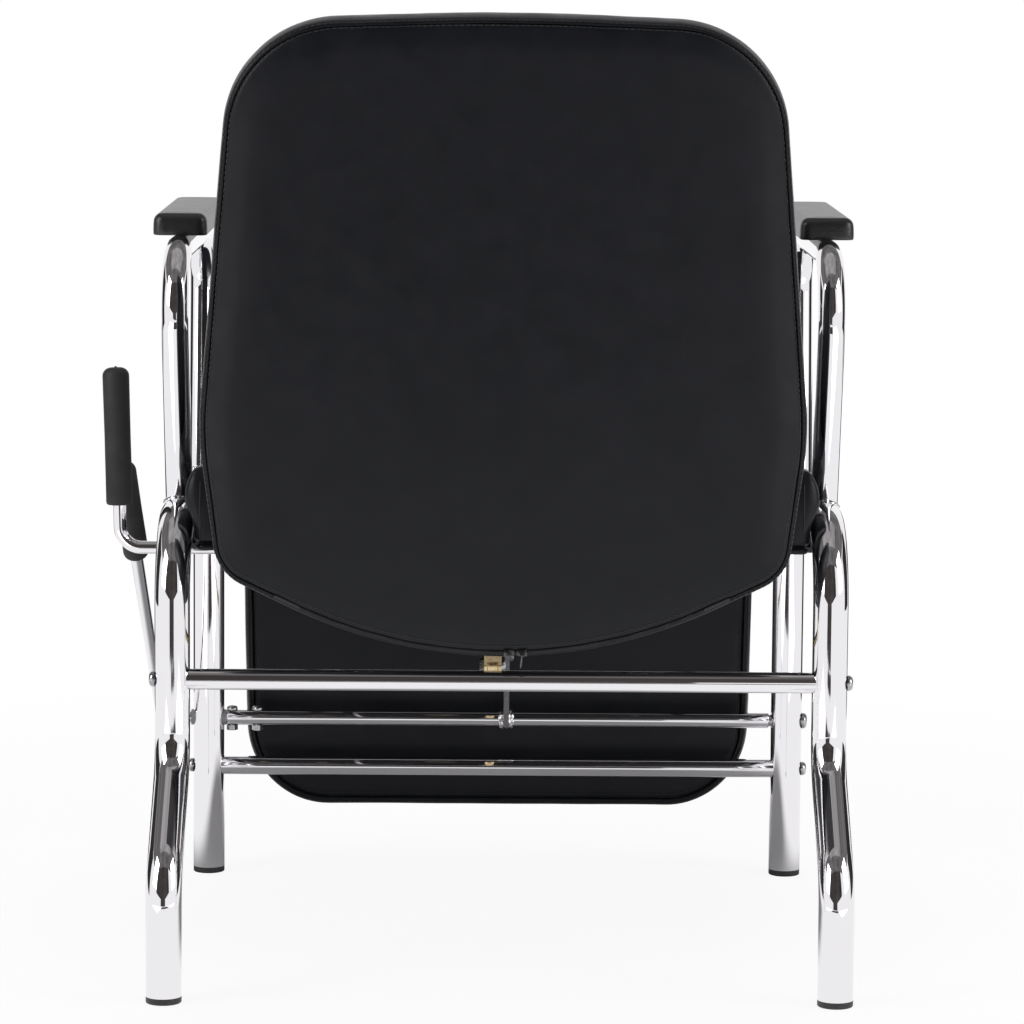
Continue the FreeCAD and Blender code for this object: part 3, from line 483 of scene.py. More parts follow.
class Finishes:
    """Every finish of the chair, built once."""

    def __init__(self) -> None:
        """Build the materials."""
        self.chrome = ChromeFinish().build()
        self.vinyl = SkinFinish(
            "black_vinyl_cloth", (0.0042, 0.0048, 0.0072), (0.0060, 0.0066, 0.0096), (0.33, 0.44),
            grain=1150, grain_depth=0.00012, grain_show=0.30, shine=0.225, bloom=0.05).build()
        self.arm_skin = SkinFinish(
            "arm_pad_foam_skin", (0.0110, 0.0104, 0.0116), (0.0180, 0.0172, 0.0186), (0.325, 0.345),
            grain=620, grain_depth=0.0003, grain_show=0.45, shine=0.5).build()
        self.rubber = SkinFinish(
            "grip_foam_rubber", (0.015, 0.015, 0.0155), (0.024, 0.024, 0.0245), (0.6, 0.78),
            grain=1700, grain_depth=0.00015, grain_show=0.35, shine=0.4).build()
        self.plastic = SkinFinish(
            "moulded_black_plastic", (0.016, 0.016, 0.017), (0.026, 0.026, 0.027), (0.4, 0.55),
            grain=1400, grain_depth=0.0001, grain_show=0.3, shine=0.5).build()
        self.thread = SkinFinish(
            "black_thread", (0.007, 0.007, 0.0075), (0.017, 0.017, 0.018), (0.45, 0.6),
            grain=2600, grain_depth=0.0002, grain_show=0.6, shine=0.4).build()
        self.tape = SkinFinish(
            "woven_zip_tape", (0.003, 0.003, 0.0032), (0.005, 0.005, 0.0053), (0.8, 0.95),
            grain=2400, grain_depth=0.0002, grain_show=0.5, shine=0.1).build()
        self.paint = SkinFinish(
            "satin_black_paint", (0.014, 0.014, 0.015), (0.022, 0.022, 0.023), (0.3, 0.42),
            grain=700, grain_depth=0.00012, grain_show=0.25, shine=0.5).build()
        self.nylon = SkinFinish(
            "grey_nylon", (0.20, 0.20, 0.205), (0.30, 0.30, 0.305), (0.35, 0.5),
            grain=900, grain_depth=0.0001, grain_show=0.2, shine=0.5).build()
        self.gunmetal = PlatedFinish("gunmetal_plate", (0.07, 0.068, 0.066), (0.14, 0.135, 0.13)).build()
        self.zinc = PlatedFinish("bright_zinc_plate", (0.34, 0.34, 0.355), (0.54, 0.53, 0.53)).build()
        self.strip = PlatedFinish("drawn_steel_strip", (0.34, 0.34, 0.36), (0.45, 0.45, 0.47)).build()
        self.bead = PlatedFinish(
            "plated_weld", (0.66, 0.64, 0.65), (0.82, 0.80, 0.80), gloss=(0.16, 0.32)).build()
        self.yellow = PlatedFinish(
            "yellow_zinc_plate", (0.50, 0.37, 0.20), (0.74, 0.60, 0.36), gloss=(0.2, 0.4),
            draw=(1.0, 1.0, 0.22)).build()
        self.ply = PlyFinish().build()

    def of_slot(self, slot: Slot) -> bpy.types.Material:
        """The material of a record slot.

        Args:
            slot: The slot.

        Returns:
            Its material.
        """
        return {Slot.CHROME: self.chrome, Slot.FOOT: self.plastic, Slot.ARM_PAD: self.arm_skin,
                Slot.GRIP: self.rubber, Slot.ZINC: self.zinc, Slot.YELLOW: self.yellow,
                Slot.BRACKET: self.paint, Slot.PLY: self.ply, Slot.VINYL: self.vinyl}[slot]


@dataclass(frozen=True)
class Datum:
    """Where the chair's middle plane and its rear feet lie in the frame.

    Attributes:
        middle_x: X of the middle plane.
        foot_y: Y of the rear feet.
    """

    middle_x: float
    foot_y: float

    @classmethod
    def from_frame(cls) -> "Datum":
        """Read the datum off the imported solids.

        Returns:
            The datum, by the foot caps and the width of a leg tube.
        """
        low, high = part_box("foot_caps")
        left_low, left_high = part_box("left_leg_loop")
        return cls((low.x + high.x) / 2, low.y + (left_high.x - left_low.x) / 2)

    def at(self, x: float, y: float, z: float) -> Vector:
        """A place given from the middle plane, the rear feet and the floor."""
        return Vector((self.middle_x + x, self.foot_y + y, z))


DATUM = Datum.from_frame()


class Skin:
    """Rows of points that become one closed mesh."""

    def __init__(self) -> None:
        """Start with nothing."""
        self.points: list[Vector] = []
        self.faces: list[tuple[int, ...]] = []

    def rows(self, rows: Sequence[Sequence[Vector]], lid_first: bool = True, lid_last: bool = True) -> None:
        """Add closed rings, joined one to the next.

        Args:
            rows: Rings with equal counts of points.
            lid_first: Close the first ring with a face.
            lid_last: Close the last ring with a face.
        """
        start, count = len(self.points), len(rows[0])
        for row in rows:
            self.points.extend(row)
        for i in range(len(rows) - 1):
            for j in range(count):
                a, b = start + i * count + j, start + i * count + (j + 1) % count
                self.faces.append((a, b, b + count, a + count))
        if lid_first:
            self.faces.append(tuple(range(start + count - 1, start - 1, -1)))
        if lid_last:
            last = start + (len(rows) - 1) * count
            self.faces.append(tuple(range(last, last + count)))

    def piece(self, name: str, material: bpy.types.Material, weld: float = 0.0,
              crease: float = 40.0) -> bpy.types.Object:
        """Make the object.

        Args:
            name: The piece's name.
            material: Its finish.
            weld: Points nearer than this become one.
            crease: Edges sharper than this many degrees stay sharp.

        Returns:
            The new object, at the frame's origin.
        """
        mesh = bpy.data.meshes.new(name)
        mesh.from_pydata(self.points, [], self.faces)
        work = bmesh.new()
        work.from_mesh(mesh)
        if weld > 0:
            bmesh.ops.remove_doubles(work, verts=work.verts, dist=weld)
        bmesh.ops.recalc_face_normals(work, faces=work.faces)
        work.to_mesh(mesh)
        work.free()
        mesh.shade_smooth()
        mesh.set_sharp_from_angle(angle=math.radians(crease))
        mesh.materials.append(material)
        obj = bpy.data.objects.new(name, mesh)
        bpy.context.scene.collection.objects.link(obj)
        return obj


def settle(obj: bpy.types.Object, body: str, replaces: Iterable[str] = ()) -> None:
    """Join a finished piece to its body, and hide the solids that it stands for.

    Args:
        obj: The piece.
        body: The body that it rides on.
        replaces: Solids that it stands for.
    """
    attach(obj, body)
    if replaces:
        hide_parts(*replaces)
    LOG.info("%s rides on %s, %d faces", obj.name, body, len(obj.data.polygons))


def smooth(share: float) -> float:
    """A step from 0 to 1 with soft ends."""
    share = min(max(share, 0.0), 1.0)
    return share * share * (3 - 2 * share)


def turns(count: int) -> list[float]:
    """Angles that share out a full turn."""
    return [2 * math.pi * k / count for k in range(count)]


def quarter(steps: int) -> list[float]:
    """Angles over a quarter turn, both ends among them."""
    return [math.pi / 2 * k / steps for k in range(steps + 1)]


def ripple(at: Vector, fine: float, share: float) -> float:
    """Two layers of noise: one, and a share of another that is so many times finer."""
    return noise.noise(at) + share * noise.noise(at * fine)


def tree_of(points: Sequence[Vector]) -> KDTree:
    """Sort points into a search tree.

    Args:
        points: The points.

    Returns:
        The tree, which gives the points nearest to a place.
    """
    tree = KDTree(len(points))
    for i, point in enumerate(points):
        tree.insert(point, i)
    tree.balance()
    return tree


def circle(middle: Vector, across: Vector, up: Vector, radius: float, sides: int) -> list[Vector]:
    """A ring of points round a place, in the plane of two directions."""
    return [middle + (across * math.cos(a) + up * math.sin(a)) * radius for a in turns(sides)]


def rounded(points: Sequence[Vector], radii: Sequence[float], turn: float = 4.0) -> list[Vector]:
    """A bent bar's centre line: straight runs joined by tangent arcs.

    Args:
        points: The corners, from end to end.
        radii: The bend at each corner, 0 at the ends.
        turn: Degrees from one point of an arc to the next.

    Returns:
        Points along the line.
    """
    line = [points[0]]
    for before, here, after, radius in zip(points, points[1:], points[2:], radii[1:]):
        back, ahead = (before - here).normalized(), (after - here).normalized()
        half = back.angle(ahead) / 2
        centre = here + (back + ahead).normalized() * (radius / math.sin(half))
        first = here + back * (radius / math.tan(half)) - centre
        axis = (-back).cross(ahead).normalized()
        sweep = math.pi - 2 * half
        steps = max(3, math.ceil(math.degrees(sweep) / turn))
        line += [centre + Quaternion(axis, sweep * k / steps) @ first for k in range(steps + 1)]
    return line + [points[-1]]


def sleeve(line: Sequence[Vector], radii: Sequence[float], sides: int) -> Grid:
    """Rings square to a line, carried along it without twist.

    Args:
        line: The centre line.
        radii: The radius at each point of the line, or one radius for all.
        sides: Points on a ring.

    Returns:
        One ring for each point.
    """
    rings = []
    last = len(line) - 1
    along = (line[1] - line[0]).normalized()
    across = along.orthogonal().normalized()
    for i, here in enumerate(line):
        ahead = line[min(i + 1, last)] - line[max(i - 1, 0)]
        turn = along.rotation_difference(ahead.normalized())
        along, across = ahead.normalized(), turn @ across
        rings.append(circle(here, across, along.cross(across), radii[i % len(radii)], sides))
    return rings


def turned(profile: Sequence[Flat], base: Vector, direction: Vector, sides: int) -> Grid:
    """Rings of a turned piece.

    Args:
        profile: (radius, distance along) from one end to the other.
        base: Where the distance is 0.
        direction: The axis.
        sides: Points on a ring.

    Returns:
        One ring for each point of the profile.
    """
    turn = Vector((0, 0, 1)).rotation_difference(direction)
    return [[base + turn @ Vector((r * math.cos(a), r * math.sin(a), h)) for a in turns(sides)]
            for r, h in profile]


def from_seam(rows: Rows, seam: float) -> Rows:
    """Rows with insets that are measured from a seam, measured from the outline instead."""
    return tuple((depth, seam + inset) for depth, inset in rows)


@dataclass(frozen=True)
class Outline:
    """A closed outline, drawn anticlockwise, with rounded corners.

    Attributes:
        corners: Its corners before rounding.
        radii: The radius at each corner.
        spine: Two ends of the line that its rings close in on.
        step: About how far apart its points are on the corners.
        stretch: How much further apart they are on the straight sides.
        least_round: The least share of its radius that an inset corner keeps.
        least_steps: The fewest steps of a corner.
    """

    corners: Rows
    radii: tuple[float, ...]
    spine: tuple[Flat, Flat]
    step: float
    stretch: float = 1.5
    least_round: float = 0.3
    least_steps: int = 4

    def _moved(self, inset: float) -> list[Vector]:
        """Move every side in.

        Args:
            inset: How far in.

        Returns:
            The moved corners.
        """
        moved = []
        count = len(self.corners)
        for i in range(count):
            before, here, after = (Vector(self.corners[k % count]) for k in (i - 1, i, i + 1))
            first, second = (here - before).normalized(), (after - here).normalized()
            left, right = Vector((-first.y, first.x)), Vector((-second.y, second.x))
            moved.append(here + (left + right) * (inset / (1 + left.dot(right))))
        return moved

    def _arcs(self, inset: float) -> Grid:
        """Round every corner.

        Args:
            inset: How far in from the outline.

        Returns:
            Points along each corner's arc.
        """
        moved = self._moved(inset)
        arcs = []
        for i, here in enumerate(moved):
            back = (moved[i - 1] - here).normalized()
            ahead = (moved[(i + 1) % len(moved)] - here).normalized()
            half = back.angle(ahead) / 2
            radius = max(self.radii[i] - inset, self.radii[i] * self.least_round)
            centre = here + (back + ahead).normalized() * (radius / math.sin(half))
            x, y = here + back * (radius / math.tan(half)) - centre
            sweep = math.pi - 2 * half
            steps = max(self.least_steps, math.ceil(sweep * self.radii[i] / self.step))
            angles = [sweep * k / steps for k in range(steps + 1)]
            arcs.append([centre + Vector((x * c - y * s, x * s + y * c))
                         for c, s in ((math.cos(t), math.sin(t)) for t in angles)])
        return arcs

    def ring(self, inset: float) -> list[Flat]:
        """Points round the outline, in step with those at any other inset.

        Args:
            inset: How far in from the outline.

        Returns:
            The points, anticlockwise.
        """
        arcs = self._arcs(inset)
        points = []
        for i, arc in enumerate(arcs):
            after = (i + 1) % len(arcs)
            run = (Vector(self.corners[after]) - Vector(self.corners[i])).length
            steps = max(2, round(run / self.step / self.stretch))
            points += arc
            points += [arc[-1].lerp(arcs[after][0], k / steps) for k in range(1, steps)]
        return [(p.x, p.y) for p in points]

    def toward_spine(self, ring: Sequence[Flat], share: float) -> list[Flat]:
        """Draw a ring in towards the spine.

        Args:
            ring: The ring.
            share: How much of the way it is drawn in.

        Returns:
            The smaller ring.
        """
        low, high = Vector(self.spine[0]), Vector(self.spine[1])
        run = high - low
        drawn = []
        for a, b in ring:
            here = Vector((a, b))
            part = min(max((here - low).dot(run) / run.length_squared, 0.0), 1.0)
            drawn.append(tuple(here.lerp(low + run * part, share)))
        return drawn


@dataclass(frozen=True)
class Stuffing:
    """Foam pressing on a sewn cover: a short cloth run on an even copy of the cover.

    Attributes:
        limit: The furthest that a point may move.
        voxel: Size of the even copy's faces.
        pressure: How hard the foam presses.
        frames: How long it runs.
        hold: How near to a sewn line a point is held.
        quality: Steps of the cloth in each frame.
        neighbours: Points of the copy that move one point of the cover.
        blur: How much the nearest of them share their say with the rest.
    """

    limit: float
    voxel: float = 0.006
    pressure: float = 4.0
    frames: int = 20
    hold: float = 0.007
    quality: int = 5
    neighbours: int = 6
    blur: float = 0.001

    def swell(self, cover: bpy.types.Object, sewn: Sequence[Vector]) -> None:
        """Move a cover's points as the simulated copy moves.

        Args:
            cover: The closed cover.
            sewn: Points on its seams and on what it is fixed to.
        """
        copy = self._even_copy(cover)
        start = self._points(copy.data)
        moved = self._run(copy, start, sewn) - start
        far = np.maximum(np.linalg.norm(moved, axis=1, keepdims=True), TINY)
        moved *= np.minimum(1.0, self.limit / far)
        tree = tree_of(start)
        shifts = []
        for vertex in cover.data.vertices:
            near = tree.find_n(vertex.co, self.neighbours)
            weights = np.array([1 / (distance + self.blur) for _, _, distance in near])
            shifts.append(weights @ moved[[index for _, index, _ in near]] / weights.sum())
        points = self._points(cover.data) + np.array(shifts)
        cover.data.vertices.foreach_set("co", points.astype(np.float32).ravel())
        cover.data.update()
        bpy.data.objects.remove(copy)

    def _even_copy(self, cover: bpy.types.Object) -> bpy.types.Object:
        """Copy the cover with even faces.

        Args:
            cover: The closed cover.

        Returns:
            The copy.
        """
        copy = bpy.data.objects.new(cover.name + "_even", cover.data.copy())
        bpy.context.scene.collection.objects.link(copy)
        even = copy.modifiers.new("even", "REMESH")
        even.mode = "VOXEL"
        even.voxel_size = self.voxel
        graph = bpy.context.evaluated_depsgraph_get()
        mesh = bpy.data.meshes.new_from_object(copy.evaluated_get(graph))
        copy.modifiers.clear()
        copy.data = mesh
        return copy

    def _run(self, copy: bpy.types.Object, start: np.ndarray, sewn: Sequence[Vector]) -> np.ndarray:
        """Run the cloth.

        Args:
            copy: The even copy.
            start: Where its points start.
            sewn: Points that hold it.

        Returns:
            Where its points end.
        """
        tree = tree_of(sewn)
        held = copy.vertex_groups.new(name="held")
        held.add([i for i, p in enumerate(start) if tree.find(p)[2] < self.hold], 1.0, "REPLACE")
        cloth = copy.modifiers.new("cloth", "CLOTH")
        cloth.settings.quality = self.quality
        cloth.settings.use_pressure = True
        cloth.settings.uniform_pressure_force = self.pressure
        cloth.settings.effector_weights.gravity = 0
        cloth.settings.vertex_group_mass = "held"
        cloth.collision_settings.use_collision = False
        cloth.point_cache.frame_start = 1
        cloth.point_cache.frame_end = self.frames
        for number in range(1, self.frames + 1):
            bpy.context.scene.frame_set(number)
        graph = bpy.context.evaluated_depsgraph_get()
        end = self._points(copy.evaluated_get(graph).data)
        copy.modifiers.clear()
        bpy.context.scene.frame_set(1)
        return end

    @staticmethod
    def _points(mesh: bpy.types.Mesh) -> np.ndarray:
        """Read a mesh's points.

        Args:
            mesh: The mesh.

        Returns:
            Its points as rows of numbers.
        """
        flat = np.empty(len(mesh.vertices) * 3, np.float32)
        mesh.vertices.foreach_get("co", flat)
        return flat.reshape(-1, 3).astype(float)


@dataclass(frozen=True)
class Stitch:
    """One kind of sewn stitch.

    Attributes:
        pitch: From one stitch to the next.
        length: The thread that shows.
        width: Its thickness.
        proud: How far it stands out of the cover.
        shape: Place along it, girth and height of each of its rings, as shares.
        sides: Points on a ring.
    """

    pitch: float = 0.0052
    length: float = 0.0040
    width: float = 0.00105
    proud: float = 0.0003
    shape: tuple[Spot, ...] = ((-0.5, 0.55, -0.8), (-0.3, 1, 0.5), (0, 1.08, 1), (0.3, 1, 0.5),
                               (0.5, 0.55, -0.8))
    sides: int = 6

    def sew(self, skin: Skin, row: Sequence[Vector], normals: Sequence[Vector], closed: bool = True) -> None:
        """Add a row of stitches to a skin.

        Args:
            skin: What takes the stitches.
            row: The line that they follow.
            normals: The way out of the cover at each point of the line.
            closed: Whether the line ends where it starts.
        """
        line = list(row) + ([row[0]] if closed else [])
        out = list(normals) + ([normals[0]] if closed else [])
        lengths = np.array([0.0] + [(b - a).length for a, b in zip(line, line[1:])]).cumsum()
        count = int(lengths[-1] / self.pitch)
        for k in range(count):
            where = (k + 0.5) * lengths[-1] / count
            i = int(min(np.searchsorted(lengths, where, "right"), len(line) - 1)) - 1
            part = (where - lengths[i]) / max(lengths[i + 1] - lengths[i], TINY)
            here = line[i].lerp(line[i + 1], part)
            along = (line[i + 1] - line[i]).normalized()
            up = out[i].lerp(out[i + 1], part).normalized()
            self._one(skin, here, along, up)

    def _one(self, skin: Skin, here: Vector, along: Vector, up: Vector) -> None:
        """Add one stitch, whose ends dive into the cover.

        Args:
            skin: What takes the stitch.
            here: The stitch's middle.
            along: The way that it runs.
            up: The way out of the cover.
        """
        rings = []
        side = along.cross(up).normalized()
        for share, girth, lift in self.shape:
            middle = here + along * (self.length * share) + up * (self.proud * lift)
            rings.append(circle(middle, side, up, self.width / 2 * girth, self.sides))
        skin.rows(rings)


@dataclass
class Cushion:
    """A sewn pad: rows of points round an outline, from its fixed side to its crown.

    Attributes:
        outline: The outline, seen square on.
        rows: (depth, inset) of each row, from the fixed side outwards.
        crown: How far the middle stands above the last row.
        inner: Rows between the last one and the middle.
        place: Where a point (across, up, depth) is in the frame.
        seams: Numbers of the rows that are sewn down.
        floor_steps: Rows that close the fixed side.
        held_steps: Rows of points that hold the fixed side while the pad swells.
        weld: Points nearer than this become one.
        crease: Edges sharper than this many degrees stay sharp.
    """

    outline: Outline
    rows: Sequence[Flat]
    crown: float
    inner: int
    place: Place
    seams: Sequence[int] = ()
    floor_steps: int = 6
    held_steps: int = 40
    weld: float = 0.00005
    crease: float = 70.0

    def grid(self) -> Grid:
        """Draw the pad.

        Returns:
            Every row of points, from the fixed side to the middle.
        """
        rings = [(depth, self.outline.ring(inset)) for depth, inset in self.rows]
        made = [[self.place(a, b, depth) for a, b in ring] for depth, ring in rings]
        depth, last = rings[-1]
        for k in range(1, self.inner + 1):
            share = k / self.inner
            drawn = self.outline.toward_spine(last, share)
            high = depth + self.crown * (1 - (1 - share) ** 2)
            made.append([self.place(a, b, high) for a, b in drawn])
        return made

    def floor_rows(self, steps: int) -> Grid:
        """Draw the fixed side.

        Args:
            steps: How many rows.

        Returns:
            Rows from the middle out to the first row.
        """
        depth, inset = self.rows[0]
        ring = self.outline.ring(inset)
        shares = [1 - k / steps for k in range(steps)]
        return [[self.place(a, b, depth) for a, b in self.outline.toward_spine(ring, s)] for s in shares]

    def build(self, name: str, material: bpy.types.Material) -> tuple[bpy.types.Object, Grid]:
        """Make the pad.

        Args:
            name: The piece's name.
            material: Its finish.

        Returns:
            The pad, and its rows as drawn.
        """
        grid = self.grid()
        skin = Skin()
        skin.rows(self.floor_rows(self.floor_steps) + grid, False, False)
        return skin.piece(name, material, weld=self.weld, crease=self.crease), grid

    def sewn_points(self, grid: Grid) -> list[Vector]:
        """Points that the foam can't move: the seams and the fixed side."""
        rows = [grid[i] for i in self.seams] + self.floor_rows(self.held_steps)
        return [point for row in rows for point in row]


@dataclass(frozen=True)
class Folds:
    """Small folds that a seam presses into a cover.

    Attributes:
        depth: How deep they are.
        reach: How far they run from the seam.
        pitch: About how far apart they are.
        fine: How many times finer the small ones among them are.
        fine_share: How deep those are, as a share.
        base: The dip that all of them share.
        end: Where they are lost, in reaches.
    """

    depth: float
    reach: float
    pitch: float
    fine: float = 2.3
    fine_share: float = 0.4
    base: float = 0.5
    end: float = 4

    def press(self, obj: bpy.types.Object, seam: Sequence[Vector]) -> None:
        """Press the folds into a cover.

        Args:
            obj: The cover.
            seam: Points along the seam.
        """
        tree = tree_of(seam)
        normals = [v.normal.copy() for v in obj.data.vertices]
        for vertex, normal in zip(obj.data.vertices, normals):
            near, _, away = tree.find(vertex.co)
            if away < self.reach * self.end:
                fold = self.base + ripple(near / self.pitch, self.fine, self.fine_share)
                vertex.co -= normal * (self.depth * fold * math.exp(-away / self.reach))
        obj.data.update()


@dataclass(frozen=True)
class Hollows:
    """The slow hollows of cloth over foam.

    Attributes:
        depth: How deep they are.
        size: How far across they are.
        fine: How many times finer the small ones among them are.
        fine_share: How deep those are, as a share.
    """

    depth: float
    size: float
    fine: float = 2.7
    fine_share: float = 0.5

    def press(self, obj: bpy.types.Object) -> None:
        """Press the hollows into a cover.

        Args:
            obj: The cover.
        """
        normals = [v.normal.copy() for v in obj.data.vertices]
        for vertex, normal in zip(obj.data.vertices, normals):
            slow = ripple(vertex.co / self.size, self.fine, self.fine_share)
            vertex.co += normal * (self.depth * slow)
        obj.data.update()


def on_surface(obj: bpy.types.Object, row: Sequence[Vector]) -> tuple[list[Vector], list[Vector]]:
    """Where a drawn row lies on the finished cover, and the way out of it there.

    Args:
        obj: The cover.
        row: The row as drawn.

    Returns:
        Points on the cover, and normals.
    """
    points, normals = [], []
    for point in row:
        _, where, normal, _ = obj.closest_point_on_mesh(point)
        points.append(where)
        normals.append(normal)
    return points, normals


@dataclass
class SideFrame:
    """One chromed side: leg loop, arm loop with its weld beads, and arm pad.

    Places are (y, z) from the rear foot. Rows of the arm pad are (height, inset).
    """

    side: Side
    finishes: Finishes
    tube_r: float = 0.016
    tube_sides: int = 64
    leg_x: float = 0.298
    leg_set: float = 0.105
    set_low_z: float = 0.111
    set_high_z: float = 0.199
    set_bend: float = 0.060
    rail_z: float = 0.416
    rail_bend: float = 0.075
    front_y: float = 0.592
    cap_h: float = 0.006
    arm_r: float = 0.0125
    arm_sides: int = 56
    arm_top_z: float = 0.657
    arm_feet_y: Flat = (0.195, 0.474)
    arm_heads_y: Flat = (0.125, 0.508)
    arm_bend: float = 0.055
    arm_slope: float = 1.9
    bead_r: float = 0.0021
    bead_steps: int = 96
    bead_sides: int = 10
    bead_wave_steps: int = 4
    bead_wave: float = 0.16
    bead_lump: float = 0.3
    bead_lumps: float = 160
    bead_weld: float = 1e-6
    pad_half: float = 0.025
    pad_y: Flat = (0.200, 0.454)
    pad_z: Flat = (0.669, 0.6902)
    pad_corner: float = 0.009
    pad_step: float = 0.003
    pad_rows: Rows = ((0.0, 0.0012), (0.0004, 0.0005), (0.0012, 0.0001), (0.004, 0.0), (0.009, 0.0001),
                      (0.0124, 0.0004))
    pad_roll: float = 0.0080
    pad_roll_steps: int = 9
    pad_inner: int = 6
    pad_fill: float = 1.0

    def dress(self) -> None:
        """Build every piece of this side."""
        self.leg_loop()
        self.arm_loop()
        self.weld_beads()
        self.arm_pad()

    def _at(self, y: float, z: float) -> Vector:
        """A place in this side's plane."""
        return DATUM.at(self.side.value * self.leg_x, y, z)

    def leg_loop(self) -> None:
        """The leg tube, from the rear foot over the rail to the front foot."""
        path = [(0, self.cap_h), (0, self.set_low_z), (self.leg_set, self.set_high_z),
                (self.leg_set, self.rail_z), (self.front_y, self.rail_z), (self.front_y, self.cap_h)]
        bends = [0, self.set_bend, self.set_bend, self.rail_bend, self.rail_bend, 0]
        line = rounded([self._at(y, z) for y, z in path], bends)
        self._tube("leg", sleeve(line, [self.tube_r], self.tube_sides))

    def arm_loop(self) -> None:
        """The arm tube, whose feet run into the rail."""
        line = rounded(self._arm_points(), [0, self.arm_bend, self.arm_bend, 0])
        self._tube("arm", sleeve(line, [self.arm_r], self.arm_sides))

    def _tube(self, word: str, rings: Grid) -> None:
        """Make one chromed tube in place of its loop.

        Args:
            word: What the tube is, in its name.
            rings: Its rings.
        """
        skin = Skin()
        skin.rows(rings)
        name = f"{self.side.word}_{word}"
        settle(skin.piece(name + "_tube", self.finishes.chrome), "frame", [name + "_loop"])

    def _arm_points(self) -> list[Vector]:
        """Work out the arm tube.

        Returns:
            The corners of its centre line, from the rear foot to the front foot.
        """
        rear, front = self.arm_heads_y
        front_z = self.arm_top_z + (front - rear) * math.tan(math.radians(self.arm_slope))
        return [self._at(self.arm_feet_y[0], self.rail_z), self._at(rear, self.arm_top_z),
                self._at(front, front_z), self._at(self.arm_feet_y[1], self.rail_z)]

    def weld_beads(self) -> None:
        """The rippled beads where the arm tube is welded on the rail."""
        rear_foot, rear_head, front_head, front_foot = self._arm_points()
        skin = Skin()
        for foot, head in ((rear_foot, rear_head), (front_foot, front_head)):
            rings = self._bead(foot, (head - foot).normalized())
            skin.rows(rings + [rings[0]], False, False)
        bead = skin.piece(self.side.word + "_arm_welds", self.finishes.chrome, weld=self.bead_weld)
        settle(bead, "frame")

    def _bead(self, foot: Vector, along: Vector) -> Grid:
        """Run a bead round the joint of arm tube and rail.

        Args:
            foot: The arm tube's end, in the middle of the rail.
            along: The way that the arm tube leaves it.

        Returns:
            The bead's rings.
        """
        fore = along.cross(ACROSS)
        line = []
        for turn in turns(self.bead_steps):
            off = ACROSS * (self.arm_r * math.cos(turn)) + fore * (self.arm_r * math.sin(turn))
            rise = math.sqrt(self.tube_r ** 2 - off.x ** 2) - off.z
            line.append(foot + off + along * (rise / along.z))
        rings = []
        for k, here in enumerate(line):
            run = (line[(k + 1) % len(line)] - line[k - 1]).normalized()
            out = (here - foot - along * (here - foot).dot(along)).normalized()
            wave = self.bead_wave * math.sin(2 * math.pi * k / self.bead_wave_steps)
            lump = self.bead_lump * noise.noise(here * self.bead_lumps)
            rings.append(circle(here, out, run.cross(out), self.bead_r * (1 + wave + lump), self.bead_sides))
        return rings

    def arm_pad(self) -> None:
        """The moulded arm pad: upright sides, a big round along the top and a slight crown."""
        rear, front = self.pad_y
        low, high = self.pad_z
        half, length, roll = self.pad_half, front - rear, self.pad_roll
        corners = ((-half, 0), (half, 0), (half, length), (-half, length))
        outline = Outline(corners, (self.pad_corner,) * 4, ((0, half), (0, length - half)), self.pad_step)
        start, inset = self.pad_rows[-1]
        top = tuple((start + roll * math.sin(t), inset + roll * (1 - math.cos(t)))
                    for t in quarter(self.pad_roll_steps)[1:])
        crown = high - low - start - roll
        pad = Cushion(outline, self.pad_rows + top, crown, self.pad_inner, self._pad_place)
        obj, _ = pad.build(self.side.word + "_arm_rest_pad", self.finishes.arm_skin)
        settle(obj, "frame", [self.side.word + "_arm_pad"])

    def _pad_place(self, a: float, b: float, depth: float) -> Vector:
        """A place on the sloping arm pad.

        Args:
            a: How far across it.
            b: How far along it from its rear end.
            depth: How far up from its underside.

        Returns:
            The place in the frame.
        """
        hinge = self._at(self.arm_heads_y[0], self.arm_top_z)
        level = self._at(self.pad_y[0] + b, self.pad_z[0] + depth) + ACROSS * a
        return hinge + Quaternion(ACROSS, math.radians(self.arm_slope)) @ (level - hinge)


